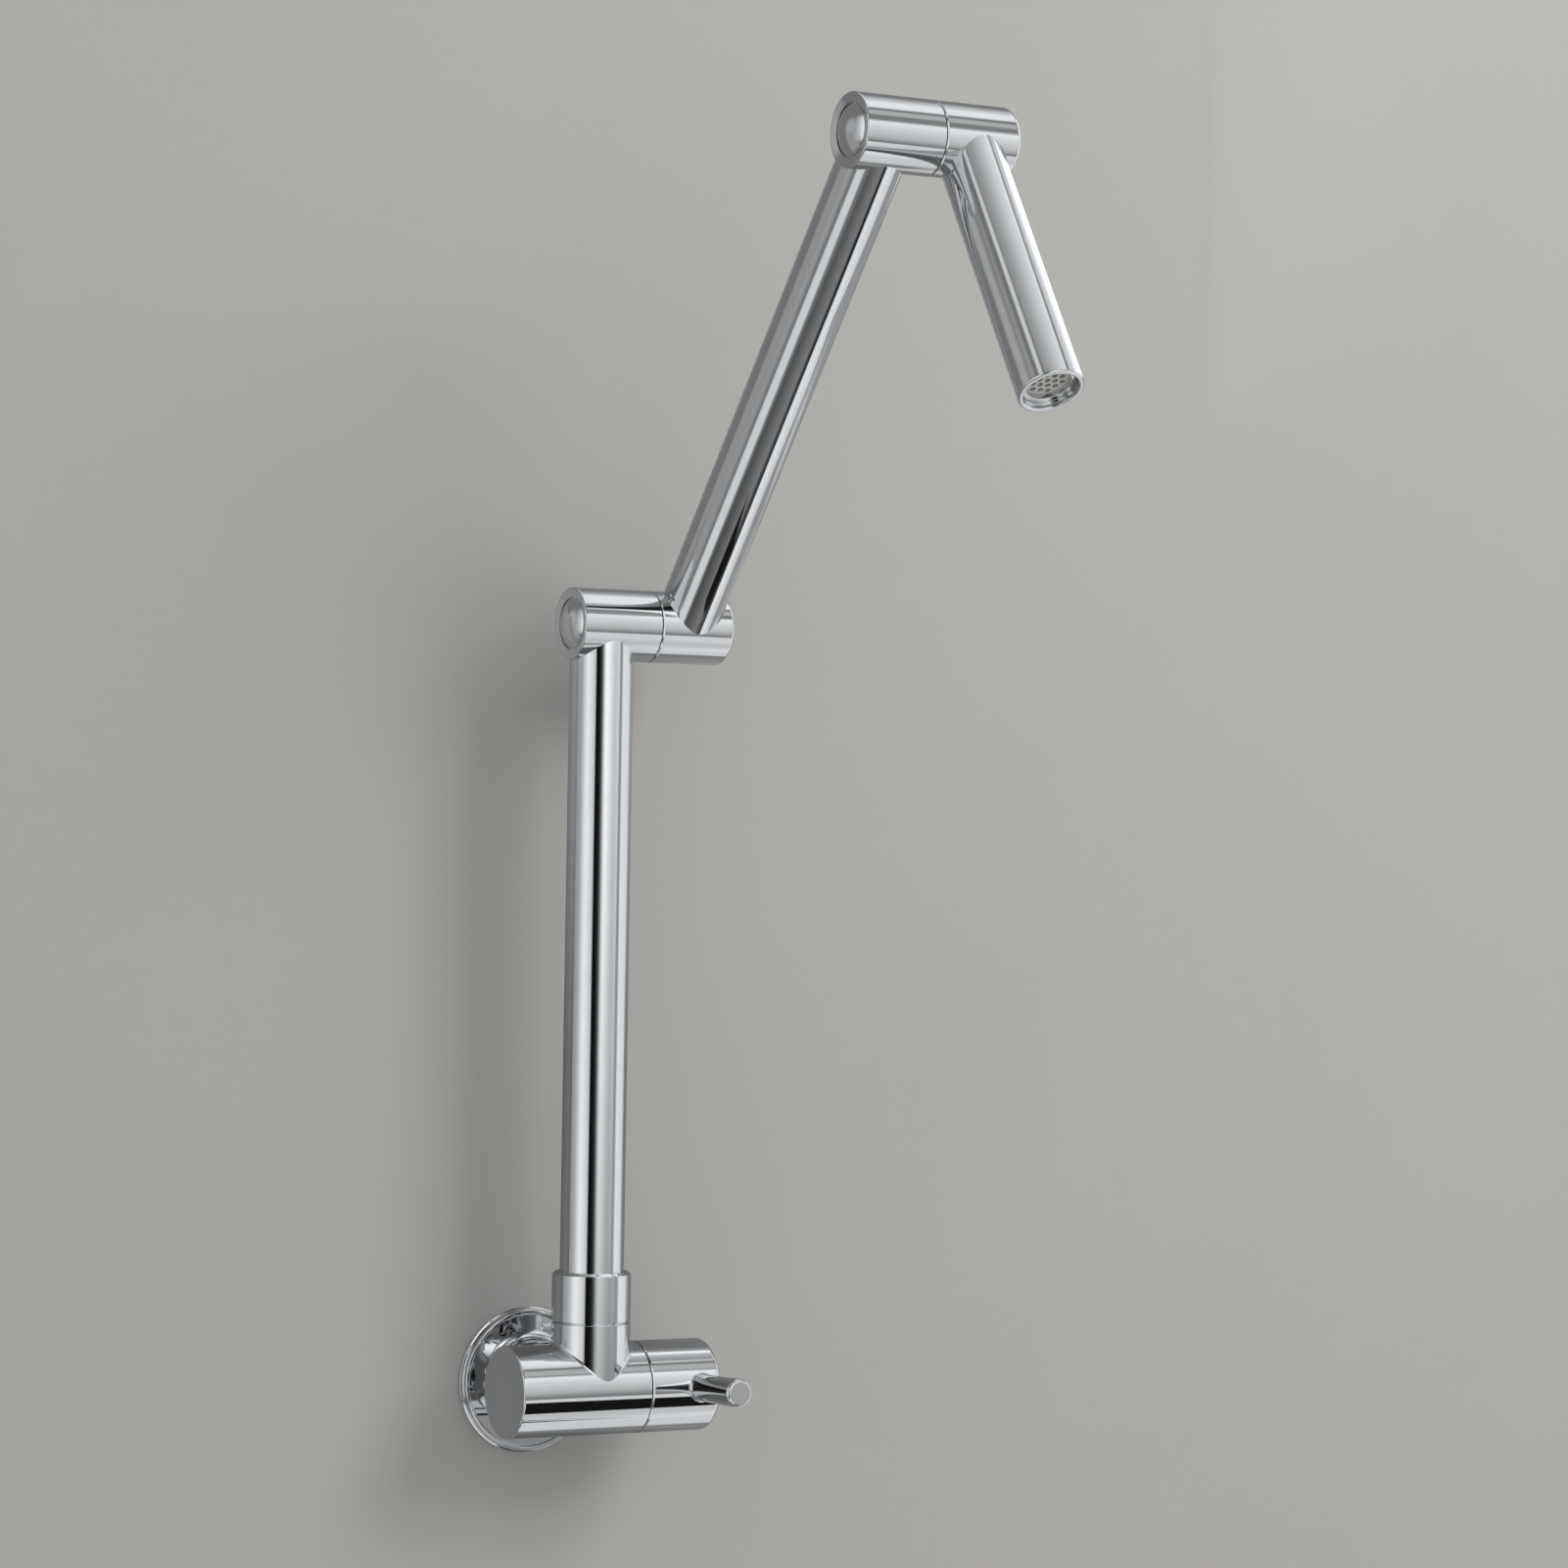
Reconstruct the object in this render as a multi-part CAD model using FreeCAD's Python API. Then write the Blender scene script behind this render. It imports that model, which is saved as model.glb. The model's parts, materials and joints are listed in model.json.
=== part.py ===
import FreeCAD, Part
import math
import os

# Wall-mounted cold water tap with a folding spout, in millimetres.
# The origin is the centre of the wall flange's back face. +Y goes into the wall, +X runs along the
# wall to the right, +Z is up. Everything that shows stands out towards -Y.

# Clearances
running_fit = 0.08          # radial, turned shafts and rings in their bores
thread_fit = 0.05           # radial, between threaded partners drawn as plain cylinders
face_gap = 0.05             # between flat faces that slide on each other
seam_gap = 0.25             # the fine line between two halves that turn

# Tubes of the spout
tube_r = 12.5
tube_wall = 1.5
stub_length = 9.0           # how far a joint's stub reaches into its tube
stub_fit = 0.05

# Layout of the spout
valve_out = 39.4            # wall to the valve's axis
branch_x = 8.0              # inlet axis to branch axis
branch_forward = 2.0        # the branch stands this much in front of the valve's axis
lower_length = 298.8        # valve axis to elbow axis
upper_length = 231.2        # elbow axis to wrist axis
nozzle_length = 116.0       # wrist axis to the nozzle's rim
upper_lean = 40.2           # degrees out of the vertical, away from the wall
nozzle_lean = 32.1          # degrees out of the vertical, away from the wall, hanging down

# Valve body and its cartridge
cartridge_r = 13.4
valve_wall = 4.55
valve_left = 28.1           # inlet axis to the plain end
valve_right = 27.7          # inlet axis to the handle's seam
plain_end_round = 0.7
seam_chamfer = 0.45
outlet_r = 6.0              # passage from the cartridge up into the branch
seat_r = 6.2
seat_wall = 2.4             # between the cartridge's chamber and the inlet passage
outlet_margin = 0.4         # seat to the outlet passage
inlet_passage_r = 4.8
seat_seal_length = 1.9
seat_seal_wall = 3.0
sleeve_length = 10.4
sleeve_r = 11.2
sleeve_bore_r = 9.2
window_width = 11.0
window_length = 2.4
disc_length = 3.1
disc_port_angle = 78.0
disc_port_r = 5.8           # outer radius of the fixed disc's ports
disc_port_bridge_r = 1.8    # solid middle between the ports
port_recess = 2.0           # depth of the moving disc's open recesses
drive_slot_width = 4.0
drive_slot_depth = 1.0
drive_dog_length = 16.0
spindle_foot_length = 2.4
spindle_r = 5.0
spindle_square = 7.0
spindle_grip = 9.0          # length of the square in the handle
socket_air = 0.5            # the handle's socket is this much deeper
hex_flats = 22.0
hex_length = 5.2
cartridge_neck_r = 8.2
cartridge_neck_length = 3.0
o_ring_section_r = 0.95
o_ring_groove = 2.2
groove_land = 0.6           # cartridge flange's edge to its groove
clip_length = 0.8
clip_play = 0.04            # the clip is this much thinner than its groove
clip_r = 6.6
clip_gap_width = 5.0

# Handle with its lever
handle_length = 30.1
handle_end_round = 2.0
handle_floor = 1.2          # air between the clip and the floor of the handle's cavity
guide_ring_wall = 1.35
guide_ring_length = 4.4
lever_station = 21.6        # seam to the lever's axis
lever_reach = 48.4          # valve axis to the lever's tip
lever_foot_r = 5.15
lever_tip_r = 5.6
lever_tip_round = 1.4
lever_blend = 0.9           # hollow round where the lever grows out of the handle
lever_lift = 1.8            # degrees above the horizontal, open
grub_r = 2.0
grub_length = 8.0
grub_key_flats = 2.0
grub_key_depth = 2.6

# Branch, swivel nut and swivel spigot
branch_reach = 8.4          # top of the valve's cylinder to the seam under the nut
branch_blend = 1.5
nipple_height = 9.8
spigot_r = 9.6
spigot_bore_r = 7.0
spigot_depth = 19.0
spigot_shoulder = 3.0
spigot_plug = 12.0
swivel_washer = 0.7
washer_margin = 0.35        # washers stay this much inside the walls round them
slip_ring_length = 0.7
slip_ring_width = 1.1
nut_wall = 1.6
nut_lip = 5.3
nut_top_chamfer = 1.1

# Inlet neck, nipple and strainer
wall_thread_r = 10.45       # the nipple's end in the wall
inlet_thread_r = 10.2       # its end in the valve's neck
inlet_bore_r = 5.75
inlet_neck_wall = 5.05
neck_start = 4.0            # wall to the back end of the neck
inlet_floor_wall = 3.9      # between the neck's bore and the cartridge's chamber
nipple_into_wall = 20.0
nipple_hex_flats = 12.0
nipple_hex_depth = 7.0
strainer_length = 2.0
strainer_rim = 2.6
strainer_plate = 0.6
strainer_hole_r = 1.2

# Wall flange
flange_r = 29.0
flange_edge = 1.5
lip_rise = 0.2              # the flat lip outside the bead rises this much to its foot
bead_r = 27.9
bead_height = 4.8
bead_width = 1.6
bead_slope = 0.1            # the side leans in this much towards the bead
dish_height = 3.0
dish_r = 25.9
flange_collar_wall = 1.0
bell_round = 3.7            # hollow round from the dish up to the collar
flange_collar_gap = 3.4     # collar's end to the valve's cylinder
flange_seal_height = 1.8
flange_seal_width = 2.6
flange_shell = 1.5
grip_section_r = 0.75
grip_inset = 1.6            # collar's end to the grip ring's middle

# Folding joints, the elbow and the wrist alike
joint_shoulder = 1.65       # the joint's radius over the tube's radius
joint_left = 14.1           # left tube's axis to the left end
joint_seam = 20.0           # left tube's axis to the seam
arm_pitch = 36.1            # left tube's axis to right tube's axis
joint_right_margin = 15.8   # right tube's axis to the right end
joint_left_round = 0.7
joint_right_round = 1.6
joint_spindle_r = 6.9
joint_spindle_bore_r = 4.2
joint_chamber_r = 8.8
joint_chamber_half = 4.4
joint_way_r = 6.8           # passage from the chamber into the tube
joint_port_r = 2.0
joint_ring_offset = 2.5     # chamber's edge to the O-ring's middle
recess_r = 10.35
recess_depth = 5.0
end_dish = 0.7              # the housing's end slopes in this far from its rim to the recess
end_flat = 0.2              # flat left between the rim's round and the dish
button_gap = 0.5
button_air = 0.2            # between the nut and the button
button_skirt = 0.4
button_rise = 2.4           # the button's crown over the housing's end
button_sink = 0.9           # the button's rim below the housing's end
nut_flats = 14.5
joint_nut_length = 1.9
joint_thread_r = 4.9
thrust_washer_length = 0.5
spring_washer_length = 0.45
spring_washer_cone = 0.25
spring_margin = 1.2         # the disc spring stays this much inside the recess
spring_bore_gap = 0.2
face_ring_length = 1.6
face_ring_r = 12.4
face_ring_bore_r = 8.6

# Nozzle and aerator
rim_round = 0.75
aerator_r = 10.3
aerator_seat_wall = 3.6     # inner shoulder above the aerator
aerator_seat_length = 2.0
aerator_recess = 3.0        # rim to the aerator's face
aerator_length = 13.0
aerator_washer_length = 1.8
aerator_housing_wall = 1.5
aerator_skirt = 1.2         # wall at its upper end
aerator_lip = 0.5           # lip that holds the core
aerator_plate = 2.2
aerator_core_wall = 1.2
aerator_hole_r = 1.15
aerator_hole_pitch = 3.2

# Sizes worked out from those above
valve_r = cartridge_r + thread_fit + valve_wall
joint_r = tube_r + joint_shoulder
tube_bore_r = tube_r - tube_wall
joint_right = arm_pitch + joint_right_margin
branch_y = -valve_out - branch_forward
branch_top = valve_r + branch_reach
shoulder_r = tube_r + running_fit + slip_ring_width
nipple_r = shoulder_r + running_fit
nut_r = nipple_r + thread_fit + nut_wall
washer_z = branch_top + nipple_height
shoulder_z = washer_z + swivel_washer + face_gap
tube_foot_z = shoulder_z + spigot_shoulder
lip_z = tube_foot_z + slip_ring_length + 2 * face_gap
nut_top = lip_z + nut_lip
seat_x = branch_x - outlet_r - outlet_margin
inlet_passage_x = seat_x - seat_wall - inlet_passage_r
cavity_r = cartridge_r + thread_fit
inlet_floor = valve_out - cavity_r - inlet_floor_wall
neck_r = inlet_thread_r + thread_fit + inlet_neck_wall
flange_collar_end = valve_out - valve_r - flange_collar_gap
cartridge_x = seat_x + seat_seal_length
moving_disc_x = cartridge_x + disc_length + face_gap
spindle_foot_x = moving_disc_x + disc_length
sleeve_end_x = spindle_foot_x + spindle_foot_length + face_gap
cartridge_ring_x = cartridge_x + sleeve_length
neck_end_x = valve_right + hex_length + cartridge_neck_length
cavity_floor_x = neck_end_x + clip_length + handle_floor
hex_corner_r = hex_flats / 2 / math.cos(math.radians(30))
guide_ring_r = hex_corner_r + thread_fit + guide_ring_wall
handle_x = valve_right + seam_gap
handle_end_x = handle_x + handle_length
lever_axis_x = handle_x + lever_station

# Behind each button, from the floor of the recess towards the left end
recess_floor = recess_depth - joint_left
washer_end = recess_floor - thrust_washer_length
spring_end = washer_end - spring_washer_length - spring_washer_cone
nut_end = spring_end - joint_nut_length

# Directions: a turned piece is drawn about its own Z axis and then laid along one of these
X_AXIS = FreeCAD.Vector(1, 0, 0)
Y_AXIS = FreeCAD.Vector(0, 1, 0)
Z_AXIS = FreeCAD.Vector(0, 0, 1)
ORIGIN = FreeCAD.Vector(0, 0, 0)
ALONG_X = FreeCAD.Rotation(Y_AXIS, 90)
OUT_OF_WALL = FreeCAD.Rotation(X_AXIS, 90)
UPRIGHT = FreeCAD.Rotation()


def leaning(angle):
    """Rotation that tips the upright direction away from the wall."""
    return FreeCAD.Rotation(X_AXIS, angle)


def placed(origin, rotation):
    return FreeCAD.Placement(origin, rotation)


valve_axis = placed(FreeCAD.Vector(0, -valve_out, 0), ALONG_X)
wall_axis = placed(ORIGIN, OUT_OF_WALL)
branch_axis = placed(FreeCAD.Vector(branch_x, branch_y, 0), UPRIGHT)
elbow_centre = FreeCAD.Vector(branch_x, branch_y, lower_length)
upper_direction = leaning(upper_lean).multVec(Z_AXIS)
arm_step = FreeCAD.Vector(arm_pitch, 0, 0)
wrist_centre = elbow_centre + arm_step + upper_direction * upper_length
nozzle_turn = 180 - nozzle_lean


def outline(points):
    """Closed outline of (radius, height) corners; a third number rounds that corner."""
    corners = [FreeCAD.Vector(point[0], 0, point[1]) for point in points]
    roundings = [point[2] if len(point) > 2 else 0 for point in points]
    starts = []
    ends = []
    arcs = []
    for index, corner in enumerate(corners):
        before = corners[index - 1] - corner
        after = corners[(index + 1) % len(corners)] - corner
        rounding = roundings[index]
        if rounding == 0:
            # a sharp corner starts and ends on itself
            starts.append(corner)
            ends.append(corner)
            arcs.append(None)
            continue
        half_angle = before.getAngle(after) / 2
        before.normalize()
        after.normalize()
        middle = before + after
        middle.normalize()
        trim = rounding / math.tan(half_angle)
        start = corner + before * trim
        end = corner + after * trim
        crown = corner + middle * (rounding / math.sin(half_angle) - rounding)
        starts.append(start)
        ends.append(end)
        arcs.append(Part.Arc(start, crown, end).toShape())
    edges = []
    for index in range(len(corners)):
        if arcs[index] is not None:
            edges.append(arcs[index])
        following = starts[(index + 1) % len(corners)]
        if (following - ends[index]).Length > 1e-6:
            edges.append(Part.LineSegment(ends[index], following).toShape())
    return Part.Wire(edges)


def turned(points, place=None):
    """Solid turned from an outline about the Z axis of its place."""
    solid = Part.Face(outline(points)).revolve(ORIGIN, Z_AXIS, 360)
    if place is not None:
        solid.Placement = place
    return solid


def ring(outer, inner, low, high, place=None, rounding=0):
    """Turned ring between two radii and two heights."""
    return turned([(inner, low), (outer, low, rounding), (outer, high, rounding), (inner, high)], place)


def rod(radius, low, high, place=None):
    solid = Part.makeCylinder(radius, high - low, FreeCAD.Vector(0, 0, low))
    if place is not None:
        solid.Placement = place
    return solid


def o_ring(middle_r, section_r, station, place):
    """Rubber ring of round section."""
    solid = Part.makeTorus(middle_r, section_r, FreeCAD.Vector(0, 0, station))
    solid.Placement = place
    return solid


def prism(sides, flats, low, high, place=None):
    """Straight prism with the given distance across flats."""
    corner_r = flats / 2 / math.cos(math.pi / sides)
    corners = []
    for index in range(sides + 1):
        angle = 2 * math.pi * (index + 0.5) / sides
        corners.append(FreeCAD.Vector(corner_r * math.cos(angle), corner_r * math.sin(angle), low))
    solid = Part.Face(Part.makePolygon(corners)).extrude(FreeCAD.Vector(0, 0, high - low))
    if place is not None:
        solid.Placement = place
    return solid


def edges_near(shape, test):
    """Edges of which the middle point passes a test."""
    found = []
    for edge in shape.Edges:
        middle = edge.valueAt((edge.FirstParameter + edge.LastParameter) / 2)
        if test(middle, edge):
            found.append(edge)
    return found


# Wall flange: a turned and polished brass cover with a bead, a dish and a bell-shaped hub

def wall_flange():
    inner_r = neck_r + running_fit
    collar_r = inner_r + flange_collar_wall
    return turned([
        (flange_r - flange_shell, 0),
        (flange_r, 0),
        (flange_r, flange_edge, 0.4),
        (bead_r + bead_slope, flange_edge + lip_rise, 0.3),
        (bead_r, bead_height, 0.7),
        (bead_r - bead_width, bead_height, 0.7),
        (dish_r, dish_height, 0.4),
        (collar_r, dish_height, bell_round),
        (collar_r, flange_collar_end, 0.35),
        (inner_r, flange_collar_end),
        (inner_r, flange_seal_height),
        (flange_r - flange_shell, flange_seal_height),
    ], wall_axis)


def flange_seal():
    outer = flange_r - flange_shell - running_fit
    return ring(outer, outer - flange_seal_width, 0, flange_seal_height, wall_axis)


def flange_grip_station():
    return flange_collar_end - grip_inset


def flange_grip_ring():
    middle_r = neck_r + running_fit - grip_section_r
    return o_ring(middle_r, grip_section_r, flange_grip_station(), wall_axis)


# Inlet: a threaded nipple with a hexagon socket, and a strainer behind it in the valve's neck

def inlet_nipple():
    end = inlet_floor - strainer_length
    body = turned([
        (inlet_bore_r, -nipple_into_wall),
        (wall_thread_r, -nipple_into_wall, 0.6),
        (wall_thread_r, 0),
        (inlet_thread_r, 0),
        (inlet_thread_r, end, 0.4),
        (inlet_bore_r, end),
    ], wall_axis)
    # the hexagon for the key is cut into the end that lies in the wall
    key = prism(6, nipple_hex_flats, -nipple_into_wall - 1, -nipple_into_wall + nipple_hex_depth,
                wall_axis)
    return body.cut(key)


def inlet_strainer():
    low = inlet_floor - strainer_length
    outer = inlet_thread_r - 3 * thread_fit
    disc = turned([
        (0, low),
        (outer, low),
        (outer, low + strainer_length),
        (outer - strainer_rim, low + strainer_length),
        (outer - strainer_rim, low + strainer_plate),
        (0, low + strainer_plate),
    ], wall_axis)
    holes = [rod(strainer_hole_r, low - 1, low + strainer_length, wall_axis)]
    circle_r = (outer - strainer_rim) * 0.6
    for index in range(6):
        angle = math.radians(60 * index)
        place = placed(FreeCAD.Vector(circle_r * math.cos(angle), 0, circle_r * math.sin(angle)),
                       OUT_OF_WALL)
        holes.append(rod(strainer_hole_r, low - 1, low + strainer_length, place))
    return disc.cut(Part.makeCompound(holes))


# Valve body: one brass casting, a cylinder along the wall with a neck behind and a branch on top

def valve_body():
    barrel = turned([
        (0, -valve_left),
        (valve_r, -valve_left, plain_end_round),
        (valve_r, valve_right - seam_chamfer),
        (valve_r - seam_chamfer, valve_right),
        (0, valve_right),
    ], valve_axis)
    branch = rod(nut_r, 0, branch_top, branch_axis)
    casting = barrel.fuse(branch)
    # the hollow round runs along the saddle where branch and barrel meet
    saddle = edges_near(casting, is_on_saddle)
    casting = casting.makeFillet(branch_blend, saddle)
    shoulder = edges_near(casting, is_branch_shoulder)
    casting = casting.makeChamfer(seam_chamfer, shoulder)
    neck = rod(neck_r, neck_start, valve_out, wall_axis)
    nipple = rod(nipple_r, 0, washer_z, branch_axis)
    casting = casting.fuse([neck, nipple])
    groove_r = neck_r + running_fit - 2 * grip_section_r
    groove_half = grip_section_r + face_gap
    cuts = [
        rod(cavity_r, seat_x, valve_right + 1, valve_axis),
        rod(seat_r, inlet_passage_x, seat_x + 1, valve_axis),
        rod(inlet_thread_r + thread_fit, neck_start - 1, inlet_floor, wall_axis),
        rod(inlet_passage_r, inlet_floor - 1, valve_out,
            placed(FreeCAD.Vector(inlet_passage_x, 0, 0), OUT_OF_WALL)),
        Part.makeSphere(seat_r, FreeCAD.Vector(inlet_passage_x, -valve_out, 0)),
        rod(outlet_r, 0, washer_z, branch_axis),
        rod(spigot_r + running_fit, washer_z - spigot_depth, washer_z + 1, branch_axis),
        ring(neck_r + 1, groove_r, flange_grip_station() - groove_half,
             flange_grip_station() + groove_half, wall_axis),
    ]
    for cut in cuts:
        casting = casting.cut(cut)
    return casting


def is_on_saddle(middle, edge):
    """The seam where the branch's cylinder meets the barrel's cylinder."""
    from_branch = math.hypot(middle.x - branch_x, middle.y - branch_y)
    from_barrel = math.hypot(middle.y + valve_out, middle.z)
    on_both = abs(from_branch - nut_r) < 0.01 and abs(from_barrel - valve_r) < 0.01
    return on_both and middle.z > 0


def is_branch_shoulder(middle, edge):
    return abs(middle.z - branch_top) < 0.01 and edge.Length > 4 * nut_r


# Ceramic cartridge in the valve body, along the valve's axis

def seat_seal():
    outer = seat_r + seat_seal_wall
    return ring(outer, seat_r, seat_x, seat_x + seat_seal_length, valve_axis, 0.4)


def sector_ports(reach, low, high):
    """Two opposite ports of a ceramic disc."""
    ports = []
    for start in (-disc_port_angle / 2, 180 - disc_port_angle / 2):
        wedge = Part.makeCylinder(reach, high - low, FreeCAD.Vector(0, 0, low),
                                  Z_AXIS, disc_port_angle)
        wedge.rotate(ORIGIN, Z_AXIS, start)
        ports.append(wedge.cut(rod(disc_port_bridge_r, low, high)))
    return Part.makeCompound(ports)


def fixed_disc():
    low = cartridge_x
    disc = rod(sleeve_bore_r - running_fit, low, low + disc_length)
    disc = disc.cut(sector_ports(disc_port_r, low - 1, low + disc_length + 1))
    disc.Placement = valve_axis
    return disc


def moving_disc():
    low = moving_disc_x
    high = low + disc_length
    disc = rod(sleeve_bore_r - 3 * running_fit, low, high)
    slot = Part.makeBox(drive_slot_width + 2 * thread_fit, 3 * sleeve_bore_r, drive_slot_depth + 1,
                        FreeCAD.Vector(-drive_slot_width / 2 - thread_fit, -1.5 * sleeve_bore_r,
                                       high - drive_slot_depth - thread_fit))
    # its recesses run out through the rim, to the windows of the housing
    disc = disc.cut(sector_ports(sleeve_bore_r + 1, low - 1, low + port_recess)).cut(slot)
    disc.Placement = valve_axis
    return disc


def spindle_ring_station():
    return valve_right + hex_length / 2


def valve_spindle():
    foot_r = sleeve_bore_r - 3 * running_fit
    clip_low = neck_end_x + face_gap
    clip_floor_r = spindle_square / 2
    groove_half = o_ring_groove / 2
    groove_r = spindle_r - 2 * o_ring_section_r
    station = spindle_ring_station()
    stem = turned([
        (0, spindle_foot_x),
        (foot_r, spindle_foot_x),
        (foot_r, spindle_foot_x + spindle_foot_length),
        (spindle_r, spindle_foot_x + spindle_foot_length),
        (spindle_r, station - groove_half),
        (groove_r, station - groove_half),
        (groove_r, station + groove_half),
        (spindle_r, station + groove_half),
        (spindle_r, clip_low),
        (clip_floor_r, clip_low),
        (clip_floor_r, clip_low + clip_length),
        (spindle_r, clip_low + clip_length),
        (spindle_r, cavity_floor_x - face_gap),
        (0, cavity_floor_x - face_gap),
    ])
    dog = Part.makeBox(drive_slot_width, drive_dog_length, drive_slot_depth,
                       FreeCAD.Vector(-drive_slot_width / 2, -drive_dog_length / 2,
                                      spindle_foot_x - drive_slot_depth))
    square = prism(4, spindle_square, cavity_floor_x - 1, cavity_floor_x + spindle_grip)
    spindle = stem.fuse([dog, square]).removeSplitter()
    spindle.Placement = valve_axis
    return spindle


def spindle_o_ring():
    middle_r = spindle_r + running_fit / 2 - o_ring_section_r
    return o_ring(middle_r, o_ring_section_r, spindle_ring_station(), valve_axis)


def spindle_clip():
    low = neck_end_x + face_gap + clip_play / 2
    clip = ring(clip_r, spindle_square / 2 + thread_fit, low, low + clip_length - clip_play)
    mouth = Part.makeBox(clip_r + 1, clip_gap_width, clip_length + 2,
                         FreeCAD.Vector(0, -clip_gap_width / 2, low - 1))
    clip = clip.cut(mouth)
    clip.Placement = valve_axis
    return clip


def cartridge_housing():
    groove_low = cartridge_ring_x + groove_land
    groove_high = groove_low + o_ring_groove
    groove_r = cavity_r - 2 * o_ring_section_r
    stem_bore_r = spindle_r + running_fit
    body = turned([
        (sleeve_bore_r, cartridge_x),
        (sleeve_r, cartridge_x),
        (sleeve_r, cartridge_ring_x),
        (cartridge_r, cartridge_ring_x),
        (cartridge_r, groove_low),
        (groove_r, groove_low),
        (groove_r, groove_high),
        (cartridge_r, groove_high),
        (cartridge_r, valve_right),
        (cartridge_neck_r, valve_right),
        (cartridge_neck_r, neck_end_x, 0.5),
        (stem_bore_r, neck_end_x),
        (stem_bore_r, sleeve_end_x),
        (sleeve_bore_r, sleeve_end_x),
    ])
    hexagon = prism(6, hex_flats, valve_right, valve_right + hex_length)
    hexagon = hexagon.cut(rod(stem_bore_r, valve_right - 1, valve_right + hex_length + 1))
    body = body.fuse(hexagon)
    windows = Part.makeBox(3 * sleeve_r, window_width, window_length,
                           FreeCAD.Vector(-1.5 * sleeve_r, -window_width / 2, moving_disc_x))
    body = body.cut(windows)
    body.Placement = valve_axis
    return body


def cartridge_o_ring():
    middle_r = cavity_r - o_ring_section_r
    station = cartridge_ring_x + groove_land + o_ring_groove / 2
    return o_ring(middle_r, o_ring_section_r, station, valve_axis)


# Handle: the end of the valve's cylinder and the lever, cast in one, on the spindle's square

lever_axis = placed(FreeCAD.Vector(lever_axis_x, -valve_out, 0), leaning(90 - lever_lift))


def handle():
    barrel = turned([
        (0, handle_x),
        (valve_r - seam_chamfer, handle_x),
        (valve_r, handle_x + seam_chamfer),
        (valve_r, handle_end_x, handle_end_round),
        (0, handle_end_x),
    ], valve_axis)
    lever = turned([
        (0, 0),
        (lever_foot_r, 0),
        (lever_tip_r, lever_reach, lever_tip_round),
        (0, lever_reach),
    ], lever_axis)
    casting = barrel.fuse(lever)
    root = edges_near(casting, is_lever_root)
    casting = casting.makeFillet(lever_blend, root)
    cavity = rod(guide_ring_r + running_fit, handle_x - 1, cavity_floor_x, valve_axis)
    socket = prism(4, spindle_square + 2 * thread_fit, cavity_floor_x - 1,
                   cavity_floor_x + spindle_grip + socket_air, valve_axis)
    grub_hole = rod(grub_r + thread_fit, 0, valve_r + 1, grub_axis)
    return casting.cut(cavity).cut(socket).cut(grub_hole)


def is_lever_root(middle, edge):
    """The seam where the lever grows out of the handle's cylinder."""
    from_barrel = math.hypot(middle.y + valve_out, middle.z)
    near_lever = abs(middle.x - lever_axis_x) < lever_foot_r + 0.5
    return near_lever and abs(from_barrel - valve_r) < 0.3 and middle.y < -valve_out


grub_axis = placed(FreeCAD.Vector(cavity_floor_x + spindle_grip / 2, -valve_out, 0), leaning(-90))


def handle_grub_screw():
    low = spindle_square / 2
    screw = turned([
        (0, low),
        (grub_r * 0.5, low),
        (grub_r, low + grub_r * 0.5),
        (grub_r, low + grub_length),
        (0, low + grub_length),
    ], grub_axis)
    key = prism(6, grub_key_flats, low + grub_length - grub_key_depth, low + grub_length + 1, grub_axis)
    return screw.cut(key)


def handle_guide_ring():
    return ring(guide_ring_r, hex_corner_r + thread_fit, valve_right, valve_right + guide_ring_length,
                valve_axis, 0.3)


# Swivel on the branch: the nut holds the spigot's shoulder down on the branch's nipple

def swivel_nut():
    low = branch_top + seam_gap
    return turned([
        (nipple_r + thread_fit, low),
        (nut_r - seam_chamfer, low),
        (nut_r, low + seam_chamfer),
        (nut_r, nut_top - nut_top_chamfer, 0.5),
        (nut_r - nut_top_chamfer, nut_top, 0.4),
        (tube_r + running_fit, nut_top),
        (tube_r + running_fit, lip_z),
        (nipple_r + thread_fit, lip_z),
    ], branch_axis)


def swivel_thrust_washer():
    outer = nipple_r - washer_margin
    return ring(outer, spigot_r + running_fit, washer_z, washer_z + swivel_washer, branch_axis)


def swivel_slip_ring():
    low = tube_foot_z + face_gap
    return ring(nipple_r, tube_r + running_fit, low, low + slip_ring_length, branch_axis)


def swivel_ring_stations():
    return [washer_z - 0.65 * spigot_depth, washer_z - 0.3 * spigot_depth]


def swivel_spigot():
    low = washer_z - spigot_depth + face_gap
    half = o_ring_groove / 2
    groove_r = spigot_r - 2 * o_ring_section_r
    profile = [(spigot_bore_r, low), (spigot_r, low, 0.4)]
    for station in swivel_ring_stations():
        profile += [
            (spigot_r, station - half),
            (groove_r, station - half),
            (groove_r, station + half),
            (spigot_r, station + half),
        ]
    profile += [
        (spigot_r, shoulder_z),
        (shoulder_r, shoulder_z),
        (shoulder_r, tube_foot_z),
        (tube_bore_r - stub_fit, tube_foot_z),
        (tube_bore_r - stub_fit, tube_foot_z + spigot_plug, 0.5),
        (spigot_bore_r, tube_foot_z + spigot_plug),
    ]
    return turned(profile, branch_axis)


def swivel_o_rings():
    middle_r = spigot_r + running_fit / 2 - o_ring_section_r
    rings = [o_ring(middle_r, o_ring_section_r, z, branch_axis) for z in swivel_ring_stations()]
    return Part.makeCompound(rings)


# Tubes: each end that meets a joint is cut to the saddle of the joint's cylinder

def joint_barrel(centre, radius):
    """Plain cylinder along a joint's axis, long enough to trim a tube."""
    start = centre - X_AXIS * (3 * joint_r)
    return Part.makeCylinder(radius, 6 * joint_r, start, X_AXIS)


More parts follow.
